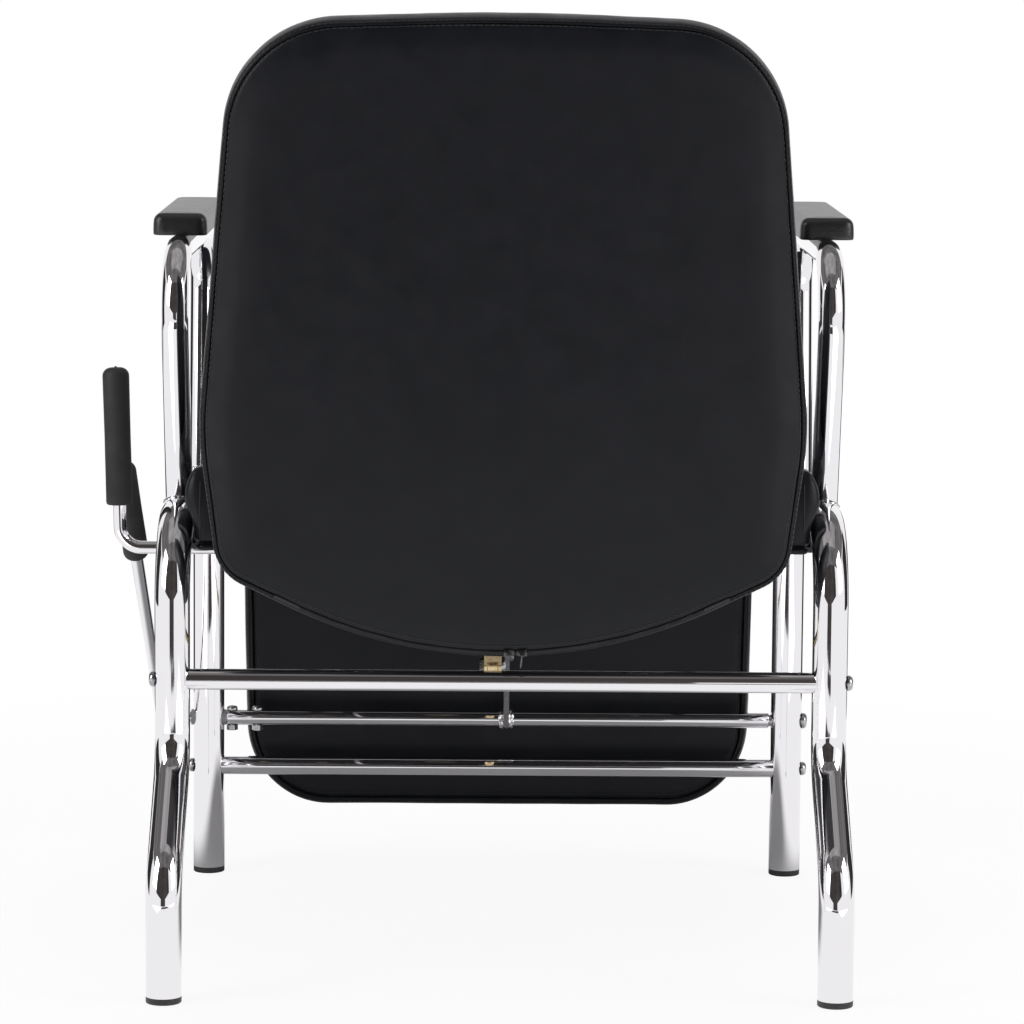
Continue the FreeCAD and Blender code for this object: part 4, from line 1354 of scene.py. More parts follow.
@dataclass
class CrossBars:
    """The chromed bars between the legs: two stretchers and the torque tube. Places are (y, z)."""

    finishes: Finishes
    leg_x: float = 0.298
    leg_r: float = 0.016
    bar_r: float = 0.0095
    bar_sides: int = 48
    bar_spans: int = 12
    cope_sink: float = 0.0004
    rear: Flat = (0.105, 0.274)
    front: Flat = (0.592, 0.111)
    torque: Flat = (0.592, 0.161)
    torque_r: float = 0.008
    torque_half: float = 0.2795
    torque_round: float = 0.0008
    crank_x: float = 0.0086
    weld_half: float = 0.0078
    weld_foot: float = 0.0027
    weld_sink: float = 0.0003
    weld_steps: int = 22
    weld_sides: int = 60
    weld_bulge: float = 0.6
    lump: float = 0.0016
    lumps: Flat = (190, 420)
    lump_share: float = 0.6

    def dress(self) -> None:
        """Build the bars and the crank's weld."""
        self.stretcher("rear_stretcher", self.rear)
        self.stretcher("front_stretcher", self.front)
        self.torque_tube()
        self.crank_weld()

    def stretcher(self, node: str, place: Flat) -> None:
        """A bar whose ends are coped to the legs.

        Args:
            node: The solid that it stands for.
            place: Its Y and Z.
        """
        rings = []
        for k in range(self.bar_spans + 1):
            share = 2 * k / self.bar_spans - 1
            ring = []
            for turn in turns(self.bar_sides):
                y, z = self.bar_r * math.cos(turn), self.bar_r * math.sin(turn)
                end = self.leg_x - math.sqrt(self.leg_r ** 2 - y ** 2) + self.cope_sink
                ring.append(DATUM.at(share * end, place[0] + y, place[1] + z))
            rings.append(ring)
        skin = Skin()
        skin.rows(rings)
        settle(skin.piece(node + "_bar", self.finishes.chrome), "frame", [node])

    def torque_tube(self) -> None:
        """The tube that the recline lever turns."""
        length, edge = 2 * self.torque_half, self.torque_round
        profile = [(self.torque_r - edge, 0), (self.torque_r, edge), (self.torque_r, length - edge),
                   (self.torque_r - edge, length)]
        skin = Skin()
        skin.rows(turned(profile, DATUM.at(-self.torque_half, *self.torque), ACROSS, self.bar_sides))
        tube = skin.piece("torque_tube_bar", self.finishes.chrome)
        settle(tube, "recline_lever", ["torque_tube"])

    def crank_weld(self) -> None:
        """The lumpy weld round the foot of the crank strip."""
        profile = []
        for k in range(self.weld_steps + 1):
            share = 2 * k / self.weld_steps - 1
            bulge = self.weld_foot * (1 - share * share) ** self.weld_bulge
            profile.append((self.torque_r + bulge - self.weld_sink, self.weld_half * (share + 1)))
        base = DATUM.at(self.crank_x - self.weld_half, *self.torque)
        rings = turned(profile, base, ACROSS, self.weld_sides)
        coarse, fine = self.lumps
        for (radius, along), ring in zip(profile, rings):
            middle = base + ACROSS * along
            for j, point in enumerate(ring):
                lump = self.lump * ripple(point * coarse, fine / coarse, self.lump_share)
                ring[j] = point + (point - middle).normalized() * (lump * radius / self.torque_r)
        skin = Skin()
        skin.rows(rings)
        settle(skin.piece("crank_weld", self.finishes.bead), "recline_lever")


@dataclass
class Lever:
    """A hand lever: a bent chrome rod with a soft grip.

    Attributes:
        finishes: The chair's finishes.
        body: The body that it is, which also starts its names.
        foot: The corner where the rod turns up.
        inside_x: X of the rod's inner end.
        length: The shank, from the corner to the grip's top.
        grip: The grip's length.
        lean: How far the shank leans to the rear, in degrees.
        out: How far its top leans out.
        rod_r: The rod's radius.
        rod_sides: Points on a ring of the rod.
        rod_short: How far the rod ends below the grip's top.
        bend: The bend's radius.
        bend_turn: Degrees from one point of the bend to the next.
        grip_r: The grip's radius.
        grip_sides: Points on a ring of the grip.
        grip_crease: Edges of the grip sharper than this many degrees stay sharp.
        bore_rows: Rows inside the open end, as (out from the rod, height).
        lip_rows: Rows of the rolled lip, as (in from the grip's radius, height).
        waist: How far the grip's middle is drawn in.
        dome: The round of its top.
        dome_steps: Steps of that round.
        nib: Height of the nib that the mould leaves.
        nib_r: The nib's radius.
        nib_rows: Rows of its foot, as (share of its radius, height).
        nib_top: Shares of its radius at the top's edge, and the radius at the top's middle.
    """

    finishes: Finishes
    body: str
    foot: Spot
    inside_x: float
    length: float
    grip: float
    lean: float
    out: float
    rod_r: float = 0.006
    rod_sides: int = 40
    rod_short: float = 0.012
    bend: float = 0.020
    bend_turn: float = 5.0
    grip_r: float = 0.0125
    grip_sides: int = 44
    grip_crease: float = 60.0
    bore_rows: Rows = ((0.0002, 0.004), (0.0003, 0.0008))
    lip_rows: Rows = ((0.004, 0.0), (0.0016, 0.0004), (0.0004, 0.0016), (0.0, 0.0034), (0.0001, 0.008))
    waist: float = 0.0003
    dome: float = 0.008
    dome_steps: int = 10
    nib: float = 0.0012
    nib_r: float = 0.0011
    nib_rows: Rows = ((1.6, 0.0001), (1.0, 0.0004))
    nib_top: Flat = (0.8, 0.0002)

    def dress(self) -> None:
        """Build the rod and the grip."""
        lean = math.radians(self.lean)
        foot = DATUM.at(*self.foot)
        shank = Vector((-self.out, -self.length * math.sin(lean), self.length * math.cos(lean))).normalized()
        inside = DATUM.at(self.inside_x, *self.foot[1:])
        self._rod([inside, foot, foot + shank * (self.length - self.rod_short)])
        self._grip(foot + shank * (self.length - self.grip), shank.normalized())

    def _rod(self, points: Sequence[Vector]) -> None:
        """Bend the rod.

        Args:
            points: Its inner end, its corner and its top.
        """
        line = rounded(points, [0, self.bend, 0], self.bend_turn)
        skin = Skin()
        skin.rows(sleeve(line, [self.rod_r], self.rod_sides))
        rod = skin.piece(self.body + "_bent_rod", self.finishes.chrome)
        settle(rod, self.body, [self.body + "_rod"])

    def _grip(self, base: Vector, way: Vector) -> None:
        """Mould the grip, with a rolled lip, a round top and the small nib left by its mould.

        Args:
            base: The middle of its open end.
            way: Its axis.
        """
        shoulder = self.grip_r - self.dome
        spring = self.grip - self.dome - self.nib
        top = spring + self.dome
        profile = [(self.rod_r + out, high) for out, high in self.bore_rows]
        profile += [(self.grip_r - inset, high) for inset, high in self.lip_rows]
        profile.append((self.grip_r - self.waist, self.grip / 2))
        profile += [(shoulder + self.dome * math.cos(t), spring + self.dome * math.sin(t))
                    for t in quarter(self.dome_steps)]
        profile += [(self.nib_r * share, top + high) for share, high in self.nib_rows]
        profile += [(self.nib_r * self.nib_top[0], self.grip), (self.nib_top[1], self.grip)]
        skin = Skin()
        skin.rows(turned(profile, base, way, self.grip_sides))
        grip = skin.piece(self.body + "_hand_grip", self.finishes.rubber, crease=self.grip_crease)
        settle(grip, self.body, [self.body + "_grip"])


@dataclass
class ReclineLever(Lever):
    """The long lever that tips the back."""

    body: str = "recline_lever"
    foot: Spot = (-0.3465, 0.592, 0.161)
    inside_x: float = -0.232
    length: float = 0.384
    grip: float = 0.128
    lean: float = 42.0
    out: float = 0.017


@dataclass
class LegRestLever(Lever):
    """The short lever that lifts the leg rest."""

    body: str = "leg_rest_lever"
    foot: Spot = (-0.3565, 0.240, 0.378)
    inside_x: float = -0.155
    length: float = 0.170
    grip: float = 0.130
    lean: float = 0.0
    out: float = 0.0045


@dataclass
class BackZip:
    """The zip under the back's bottom edge: two tapes, a coil of teeth, and two sliders that meet.

    Attributes:
        finishes: The chair's finishes.
        body: The body that it rides on.
        line: Its middle line, from left to right.
        lean: How far its outer face is turned up from straight back, in degrees.
        tape_x: Inner and outer edge of a tape, from the middle line.
        tape_t: How far a tape's inner edge stands out at the ends, and how much further between them.
        tape_fade: Points of the line over which that grows.
        tape_drop: How far a tape's inner and outer edges lie behind that.
        tape_depth: How deep a tape's body is at its inner and outer edges.
        pitch: From one turn of the coil to the next.
        turn_steps: Points to a turn.
        coil_r: The coil's radius across the zip and out of it.
        coil_lift: How far the coil's middle lies out of the line.
        wire_r: The wire's radius.
        wire_sides: Points on a ring of the wire.
        meet_x: Where the sliders meet, from the middle of the line.
        nose_gap: From there to a slider's nose.
        slider: A slider's length.
        slider_rows: Share of the length and half width of each row of a slider's plates.
        plate_lifts: How far out each plate lies.
        plate_t: A plate's thickness.
        plate_bevel: Share of a plate's width that its outer face keeps.
        bow_run: Where the bow on a slider starts, and how long it is, as shares of the slider.
        bow_lift: Where the bow's feet are, and how high it rises.
        bow_steps: Steps along the bow.
        bow_r: The bow's radius.
        pull_at: Where the pull hangs, along the zip and out of it.
        pull_way: The way that it hangs.
        pull_rows: Distance along the pull and its radius there.
        ring_sides: Points on a ring of the bow and the pull.
    """

    finishes: Finishes
    body: str
    line: Sequence[Vector]
    lean: float
    tape_x: Flat = (0.0009, 0.0026)
    tape_t: Flat = (0.0002, 0.0004)
    tape_fade: int = 8
    tape_drop: Flat = (0.0002, 0.0008)
    tape_depth: Flat = (0.0024, 0.0016)
    pitch: float = 0.0016
    turn_steps: int = 10
    coil_r: Flat = (0.0014, 0.0006)
    coil_lift: float = 0.0003
    wire_r: float = 0.00038
    wire_sides: int = 5
    meet_x: float = 0.0125
    nose_gap: float = 0.0013
    slider: float = 0.0092
    slider_rows: Rows = ((0, 0.0014), (0.3, 0.0030), (0.8, 0.0034), (1, 0.0027))
    plate_lifts: Flat = (0.0002, 0.0020)
    plate_t: float = 0.0009
    plate_bevel: float = 0.7
    bow_run: Flat = (0.2, 0.6)
    bow_lift: Flat = (0.0028, 0.0015)
    bow_steps: int = 10
    bow_r: float = 0.0006
    pull_at: Flat = (0.0058, 0.0042)
    pull_way: Spot = (-0.10, 0, -1)
    pull_rows: Rows = ((0, 0.0006), (0.004, 0.0007), (0.008, 0.0008), (0.0115, 0.0005))
    ring_sides: int = 8

    def dress(self) -> None:
        """Build the zip."""
        lean = math.radians(self.lean)
        out = Vector((0, -math.cos(lean), -math.sin(lean)))
        fore = Vector((0, math.sin(lean), -math.cos(lean)))
        self._tapes(out, fore)
        self._teeth(out, fore)
        self._sliders(out, fore)

    def _tapes(self, out: Vector, fore: Vector) -> None:
        """Lay the tapes.

        Args:
            out: Out of the zip.
            fore: Across the zip, towards the back's front.
        """
        last = len(self.line) - 1
        ends, rise = self.tape_t
        proud = [ends + rise * smooth(min(k, last - k) / self.tape_fade) for k in range(last + 1)]
        skin = Skin()
        for sign in (-1, 1):
            near, far = ([p + fore * (sign * x) + out * (t - drop) for p, t in zip(self.line, proud)]
                         for x, drop in zip(self.tape_x, self.tape_drop))
            back, deep = ([p - out * depth for p in edge]
                          for edge, depth in zip((near, far), self.tape_depth))
            skin.rows([list(strip) for strip in zip(near, far, deep, back)])
        settle(skin.piece("back_zip_tapes", self.finishes.tape), self.body)

    def _teeth(self, out: Vector, fore: Vector) -> None:
        """Wind the coil of teeth.

        Args:
            out: Out of the zip.
            fore: Across the zip, towards the back's front.
        """
        last = len(self.line) - 1
        run = sum((b - a).length for a, b in zip(self.line, self.line[1:]))
        count = int(run / self.pitch) * self.turn_steps
        coil = []
        for k in range(count):
            share = k / (count - 1) * last
            i = min(int(share), last - 1)
            here = self.line[i].lerp(self.line[i + 1], share - i)
            angle = 2 * math.pi * k / self.turn_steps
            high = self.coil_lift + self.coil_r[1] * math.sin(angle)
            coil.append(here + fore * (self.coil_r[0] * math.cos(angle)) + out * high)
        skin = Skin()
        skin.rows(sleeve(coil, [self.wire_r], self.wire_sides))
        settle(skin.piece("back_zip_teeth", self.finishes.plastic), self.body)

    def _sliders(self, out: Vector, fore: Vector) -> None:
        """Set two sliders nose to nose, one with its pull hanging.

        Args:
            out: Out of the zip.
            fore: Across the zip, towards the back's front.
        """
        meet = self.line[len(self.line) // 2] + ACROSS * self.meet_x
        skin = Skin()
        for sign in (-1, 1):
            nose = meet + ACROSS * (sign * self.nose_gap)
            tail = ACROSS * (sign * self.slider)
            for lift in self.plate_lifts:
                rings = []
                for share, half in self.slider_rows:
                    here = nose + tail * share + out * lift
                    edge, face = fore * half, fore * (half * self.plate_bevel)
                    rise = out * self.plate_t
                    rings.append([here + edge, here + face + rise, here - face + rise, here - edge])
                skin.rows(rings)
            bow = [nose + tail * (self.bow_run[0] + self.bow_run[1] * t)
                   + out * (self.bow_lift[0] + self.bow_lift[1] * math.sin(math.pi * t))
                   for t in (k / self.bow_steps for k in range(self.bow_steps + 1))]
            skin.rows(sleeve(bow, [self.bow_r], self.ring_sides))
        hook = meet + ACROSS * self.pull_at[0] + out * self.pull_at[1]
        fall = Vector(self.pull_way).normalized()
        pull = [hook + fall * along for along, _ in self.pull_rows]
        skin.rows(sleeve(pull, [radius for _, radius in self.pull_rows], self.ring_sides))
        settle(skin.piece("back_zip_sliders", self.finishes.gunmetal), self.body)


@dataclass
class BoxedPad:
    """A pad with a flat rear cover and a boxed, crowned front.

    Rows are (depth, inset). Those of the cover and of the lip are inset from the rear seam, and those of
    the boxing from the outline. A field that ends in _row is the number of a row.
    """

    finishes: Finishes
    body: str
    word: str
    seam_inset: float
    cover_rows: Rows
    cover_crown: float
    cover_inner: int
    cover_hollows: Hollows
    cover_folds: Folds
    lip_rows: Rows
    boxing_rows: Rows
    pad_crown: float
    pad_inner: int
    pad_hollows: Hollows
    stuffing: Stuffing
    step: float = 0.006
    cover_fill: float = 0.9
    pad_fill: float = 0.8
    sewn_rows: tuple[int, ...] = (0, 1, 2, 14, 15, 16)
    rear_seam_row: int = 2
    front_seam_row: int = 15
    front_thread_row: int = 20
    front_folds: Folds = Folds(depth=0.0009, reach=0.012, pitch=0.026)

    def outline(self) -> Outline:
        """The pad seen square on, which each pad draws for itself."""
        raise NotImplementedError

    def place(self, a: float, b: float, depth: float) -> Vector:
        """A place on the pad, by its distances across, up and ahead of the rear face."""
        raise NotImplementedError

    def rear_cover(self) -> tuple[bpy.types.Object, Grid]:
        """Sew the flat rear cover, whose edge dives into its seam.

        Returns:
            The cover, and its rows as drawn.
        """
        rows = from_seam(self.cover_rows, self.seam_inset)
        cover = Cushion(self.outline(), rows, self.cover_crown, self.cover_inner, self.place)
        obj, grid = cover.build(self.word + "_rear_cover", self.finishes.vinyl)
        self.cover_hollows.press(obj)
        self.cover_folds.press(obj, grid[self.rear_seam_row])
        settle(obj, self.body, [self.word + "_rear_panel"])
        return obj, grid

    def pad(self) -> tuple[bpy.types.Object, Grid]:
        """Sew the boxing and the crowned front, as one pad.

        Returns:
            The pad, and its rows as drawn.
        """
        rows = from_seam(self.lip_rows, self.seam_inset) + self.boxing_rows
        pad = Cushion(self.outline(), rows, self.pad_crown, self.pad_inner, self.place, self.sewn_rows)
        obj, grid = pad.build(self.word + "_pad", self.finishes.vinyl)
        self.stuffing.swell(obj, pad.sewn_points(grid))
        self.pad_hollows.press(obj)
        self.front_folds.press(obj, grid[self.front_seam_row])
        settle(obj, self.body, [self.word + "_cushion"])
        return obj, grid


@dataclass
class BackRest(BoxedPad):
    """The reclining back, with thread beside its seams and a zip under its bottom edge."""

    body: str = "backrest"
    word: str = "back"
    tilt: float = 12.0
    foot_y: float = 0.080079
    foot_z: float = 0.299989
    drop: float = 0.0480
    drop_r: float = 0.424
    low_x: float = 0.257
    low_up: float = 0.0755
    low_r: float = 0.045
    wide_x: float = 0.271
    wide_up: float = 0.205
    wide_r: float = 0.300
    top_x: float = 0.237
    top_r: float = 0.103
    length: float = 0.5725
    crest: float = 0.0085
    crest_r: float = 2.0
    spine_up: Flat = (0.19, 0.42)
    sag: float = 0.0026
    sag_up: float = 0.10
    sag_up_run: float = 0.06
    sag_depth: float = 0.004
    sag_depth_run: float = 0.006
    seam_inset: float = 0.0055
    cover_rows: Rows = ((0.0084, 0.0030), (0.0076, 0.0008), (0.0068, 0.0001), (0.0060, 0.0002),
                        (0.0052, 0.0007), (0.0044, 0.0019), (0.0037, 0.0044), (0.0029, 0.0080),
                        (0.0020, 0.0120), (0.0011, 0.0165), (0.0004, 0.0225), (0.0, 0.0340))
    cover_crown: float = -0.0005
    cover_inner: int = 30
    cover_hollows: Hollows = Hollows(depth=0.0003, size=0.11)
    cover_folds: Folds = Folds(depth=0.0004, reach=0.012, pitch=0.024)
    lip_rows: Rows = ((0.0086, 0.0022), (0.0078, 0.0003), (0.0072, -0.0001), (0.0066, -0.0004),
                      (0.0061, -0.0010), (0.0062, -0.0021), (0.0072, -0.0036), (0.0092, -0.0046))
    boxing_rows: Rows = ((0.0125, 0.0003), (0.0175, -0.0002), (0.0240, -0.0005), (0.0310, 0.0000),
                         (0.0370, 0.0012), (0.0408, 0.0024), (0.0430, 0.0040), (0.0438, 0.0050),
                         (0.0452, 0.0052), (0.0466, 0.0060), (0.0486, 0.0080), (0.0502, 0.0110),
                         (0.0513, 0.0150), (0.0520, 0.0210))
    pad_crown: float = 0.0030
    pad_inner: int = 34
    pad_hollows: Hollows = Hollows(depth=0.0004, size=0.12)
    stuffing: Stuffing = Stuffing(limit=0.005)
    rear_folds: Folds = Folds(depth=0.0003, reach=0.007, pitch=0.022)
    cover_thread_row: tuple[int, int] = (4, 6)
    thread_spread_up: float = 0.300
    boxing_thread_row: int = 6
    zip_half: float = 0.205
    zip_inset: float = 0.0042
    zip_depth: float = 0.0063
    zip_turn: float = 24.0

    def outline(self) -> Outline:
        """Draw the back square on, from the middle of its bottom edge.

        Returns:
            The outline.
        """
        right = ((self.low_x, self.low_up), (self.wide_x, self.wide_up), (self.top_x, self.length))
        left = tuple((-x, up) for x, up in reversed(right))
        corners = ((0, -self.drop), *right, (0, self.length + self.crest), *left)
        side = (self.low_r, self.wide_r, self.top_r)
        radii = (self.drop_r, *side, self.crest_r, *reversed(side))
        low, high = self.spine_up
        return Outline(corners, radii, ((0, low), (0, high)), self.step)

    def place(self, a: float, b: float, depth: float) -> Vector:
        """A place on the back, whose boxing hangs a little along the bottom.

        Args:
            a: How far across it.
            b: How far up its slope.
            depth: How far ahead of its rear face.

        Returns:
            The place in the frame.
        """
        lean = math.radians(self.tilt)
        low = smooth((self.sag_up - b) / self.sag_up_run)
        b -= self.sag * low * smooth((depth - self.sag_depth) / self.sag_depth_run)
        return DATUM.at(a, self.foot_y + depth * math.cos(lean) - b * math.sin(lean),
                        self.foot_z + depth * math.sin(lean) + b * math.cos(lean))

    def dress(self) -> None:
        """Build the back."""
        cover, cover_grid = self.rear_cover()
        pad, pad_grid = self.pad()
        self.rear_folds.press(pad, pad_grid[self.rear_seam_row])
        self.stitching(cover, cover_grid, pad, pad_grid)
        arc = sorted((p for p in self.outline().ring(self.zip_inset) if self._zipped(p)), key=lambda p: p[0])
        line = [self.place(a, b, self.zip_depth) for a, b in arc]
        BackZip(self.finishes, self.body, line, self.tilt + self.zip_turn).dress()

    def stitching(self, cover: bpy.types.Object, cover_grid: Grid, pad: bpy.types.Object,
                  pad_grid: Grid) -> None:
        """Rows of thread beside the rear and front seams.

        Args:
            cover: The rear cover.
            cover_grid: Its rows as drawn.
            pad: The boxed pad.
            pad_grid: Its rows as drawn.
        """
        skin = Skin()
        stitch = Stitch()
        flat = self.outline().ring(0.0)
        boxing = [p for p, spot in zip(pad_grid[self.boxing_thread_row], flat) if not self._zipped(spot)]
        stitch.sew(skin, *on_surface(pad, boxing), closed=False)
        near, far = (cover_grid[row] for row in self.cover_thread_row)
        inner = [first.lerp(second, smooth(1 - up / self.thread_spread_up))
                 for first, second, (_, up) in zip(near, far, flat)]
        stitch.sew(skin, *on_surface(cover, inner))
        stitch.sew(skin, *on_surface(pad, pad_grid[self.front_thread_row]))
        settle(skin.piece("back_stitching", self.finishes.thread), self.body)

    def _zipped(self, spot: Flat) -> bool:
        """Whether a spot of the outline is on the zip."""
        return spot[1] < self.low_up and abs(spot[0]) < self.zip_half


@dataclass
class SeatPad:
    """The seat: boxed sides round the board, a sewn top and the rear corners squeezed by the arms.

    Rows are (height, inset). Those of the boxing are measured from the board, and those of the top from
    its edge. A field that ends in _row is the number of a row.
    """

    finishes: Finishes
    body: str = "frame"
    half: float = 0.2810
    rear_half: float = 0.2905
    rear_y: float = 0.1225
    rear_r: float = 0.010
    front_y: float = 0.6175
    front_r: float = 0.045
    spine_half: float = 0.05
    step: float = 0.006
    squeeze_y: Flat = (0.1560, 0.1760)
    squeeze_power: int = 8
    bend: Spot = (0.180, 0.341, 0.0925)
    bend_clear: float = 0.006
    bend_rise: float = 0.022
    board_z: float = 0.3886
    top_z: float = 0.4650
    boxing_rows: Rows = ((0.0, 0.016), (0.0, 0.0044), (0.0010, 0.0026), (0.0030, 0.0018), (0.0046, 0.0022),
                         (0.0056, 0.0046), (0.0070, 0.0052), (0.0080, 0.0036), (0.0094, 0.0014),
                         (0.0125, 0.0006), (0.020, 0.0003), (0.032, 0.0003), (0.044, 0.0006), (0.055, 0.0014),
                         (0.063, 0.0030), (0.0690, 0.0050), (0.0700, 0.0058), (0.0714, 0.0062),
                         (0.0732, 0.0074))
    top_rows: Rows = ((-0.0006, 0.0105), (0.0008, 0.0150), (0.0022, 0.0220))
    crown: float = 0.0125
    inner: int = 36
    fill: float = 0.75
    sewn_rows: tuple[int, ...] = (*range(9), 15, 16, 17)
    top_seam_row: int = 16
    thread_row: int = 20
    stuffing: Stuffing = Stuffing(limit=0.010)
    hollows: Hollows = Hollows(depth=0.0007, size=0.12)
    folds: Folds = Folds(depth=0.0009, reach=0.012, pitch=0.026)
    corner_seam_x: float = 0.274
    corner_seam_up: float = 0.012
    corner_seam_step: float = 0.0048
    corner_seam_points: int = 12
    corner_seam_r: float = 0.0006
    corner_seam_sides: int = 8

    def outline(self) -> Outline:
        """Draw the seat from above.

        Returns:
            The outline.
        """
        rear, front, half = self.rear_y, self.front_y, self.half
        corners = ((-half, rear), (half, rear), (half, front), (-half, front))
        radii = (self.rear_r, self.rear_r, self.front_r, self.front_r)
        middle = (rear + front) / 2
        return Outline(corners, radii, ((-self.spine_half, middle), (self.spine_half, middle)), self.step)

    def place(self, a: float, b: float, z: float) -> Vector:
        """A place on the seat, pushed out at the corners over the leg's bend and behind the arm posts.

        Args:
            a: How far across it.
            b: How far ahead of the rear feet.
            z: How far up from the floor.

        Returns:
            The place in the frame.
        """
        bend_y, bend_z, bend_r = self.bend
        start, end = self.squeeze_y
        over = bend_z + math.sqrt(max(bend_r ** 2 - min(b - bend_y, 0.0) ** 2, 0.0))
        behind = 1 - smooth((b - start) / (end - start))
        high = smooth((z - over + self.bend_clear) / self.bend_rise)
        out = (self.rear_half - self.half) * behind * high * (a / self.half) ** self.squeeze_power
        return DATUM.at(a + math.copysign(out, a), b, z)

    def dress(self) -> None:
        """Build the seat."""
        rows = [(self.board_z + high, inset) for high, inset in self.boxing_rows]
        rows += [(self.top_z + high, inset) for high, inset in self.top_rows]
        pad = Cushion(self.outline(), rows, self.crown, self.inner, self.place, self.sewn_rows)
        obj, grid = pad.build("seat_pad", self.finishes.vinyl)
        self.stuffing.swell(obj, pad.sewn_points(grid))
        self.hollows.press(obj)
        self.folds.press(obj, grid[self.top_seam_row])
        settle(obj, self.body, ["seat_cushion"])
        skin = Skin()
        Stitch().sew(skin, *on_surface(obj, grid[self.thread_row]))
        settle(skin.piece("seat_stitching", self.finishes.thread), self.body)
        self._corner_seams(obj)

    def _corner_seams(self, cover: bpy.types.Object) -> None:
        """Sew the upright seams of the boxing at its rear corners.

        Args:
            cover: The seat pad.
        """
        skin = Skin()
        foot = self.board_z + self.corner_seam_up
        for side in Side:
            row = [DATUM.at(side.value * self.corner_seam_x, self.rear_y, foot + self.corner_seam_step * k)
                   for k in range(self.corner_seam_points)]
            line, _ = on_surface(cover, row)
            skin.rows(sleeve(line, [self.corner_seam_r], self.corner_seam_sides))
        settle(skin.piece("seat_corner_seams", self.finishes.thread), self.body)


@dataclass
class LegRest(BoxedPad):
    """The leg rest, with thread beside its seams and faint creases in its rear cover."""

    body: str = "leg_rest"
    word: str = "leg_rest"
    rear_y: float = 0.627
    foot_z: float = 0.064
    height: float = 0.306
    half: float = 0.265
    top_r: float = 0.030
    foot_half: float = 0.259
    foot_r: float = 0.085
    spine_half: float = 0.12
    spine_up: float = 0.155
    seam_inset: float = 0.0080
    cover_rows: Rows = ((0.0060, 0.004), (0.0048, 0.0012), (0.0032, 0.0004), (0.0017, 0.0009),
                        (0.0007, 0.0022), (0.0001, 0.0045), (-0.0001, 0.008), (-0.0002, 0.014))
    cover_crown: float = -0.0002
    cover_inner: int = 24
    cover_hollows: Hollows = Hollows(depth=0.00025, size=0.09)
    cover_folds: Folds = Folds(depth=0.0004, reach=0.009, pitch=0.020)
    lip_rows: Rows = ((0.0058, 0.0030), (0.0042, 0.0004), (0.0024, -0.0002), (0.0011, -0.0012),
                      (0.0006, -0.0028), (0.0012, -0.0046), (0.0032, -0.0063), (0.0066, -0.0075))
    boxing_rows: Rows = ((0.0110, -0.0002), (0.0180, -0.0009), (0.0270, -0.0013), (0.0350, -0.0009),
                         (0.0405, 0.0002), (0.0435, 0.0012), (0.0455, 0.0026), (0.0462, 0.0034),
                         (0.0476, 0.0036), (0.0490, 0.0044), (0.0512, 0.0062), (0.0528, 0.0090),
                         (0.0538, 0.0130), (0.0546, 0.0190))
    pad_crown: float = 0.0035
    pad_inner: int = 26
    pad_hollows: Hollows = Hollows(depth=0.0005, size=0.11)
    stuffing: Stuffing = Stuffing(limit=0.008)
    rear_thread_row: int = 5
    crease_x: tuple[float, ...] = (-0.052, -0.024, 0.041, 0.066)
    crease_half: float = 0.0035
    crease_depth: float = 0.0004
    crease_reach: float = 0.002

    def outline(self) -> Outline:
        """Draw the leg rest square on, from the middle of its foot.

        Returns:
            The outline.
        """
        half, foot = self.half, self.foot_half
        corners = ((-foot, 0), (foot, 0), (half, self.height), (-half, self.height))
        radii = (self.foot_r, self.foot_r, self.top_r, self.top_r)
        spine = ((-self.spine_half, self.spine_up), (self.spine_half, self.spine_up))
        return Outline(corners, radii, spine, self.step)

    def place(self, a: float, b: float, depth: float) -> Vector:
        """A place on the leg rest, by its distances across, up and ahead of the rear face."""
        return DATUM.at(a, self.rear_y + depth, self.foot_z + b)

    def dress(self) -> None:
        """Build the leg rest."""
        cover, cover_grid = self.rear_cover()
        self._creases(cover)
        pad, pad_grid = self.pad()
        skin = Skin()
        stitch = Stitch()
        stitch.sew(skin, *on_surface(cover, cover_grid[self.rear_thread_row]))
        for row in (self.rear_thread_row, self.front_thread_row):
            stitch.sew(skin, *on_surface(pad, pad_grid[row]))
        settle(skin.piece("leg_rest_stitching", self.finishes.thread), self.body)

    def _creases(self, obj: bpy.types.Object) -> None:
        """Press faint upright creases near the middle of the rear cover.

        Args:
            obj: The cover.
        """
        middle = self.place(0, 0, self.crease_reach)
        for vertex in obj.data.vertices:
            if vertex.co.y < middle.y:
                x = vertex.co.x - middle.x
                fold = sum(math.exp(-((x - at) / self.crease_half) ** 2) for at in self.crease_x)
                vertex.co.y += self.crease_depth * fold
        obj.data.update()


@dataclass
class Hardware:
    """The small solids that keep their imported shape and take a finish."""

    finishes: Finishes

    def dress(self) -> None:
        """Give every solid the finish of its slot, or its own shade of it."""
        slots = {part["node"]: part["material_slot"] for part in frame["record"]["subparts"]}
        own = {"crank_strip": self.finishes.strip, "clevis_bolt": self.finishes.strip,
               "recline_link": self.finishes.yellow, "lever_bush": self.finishes.nylon}
        for name, obj in frame["nodes"].items():
            obj.data.materials.clear()
            obj.data.materials.append(own.get(name) or self.finishes.of_slot(Slot(slots[name])))
            LOG.info("%s takes %s", name, slots[name])


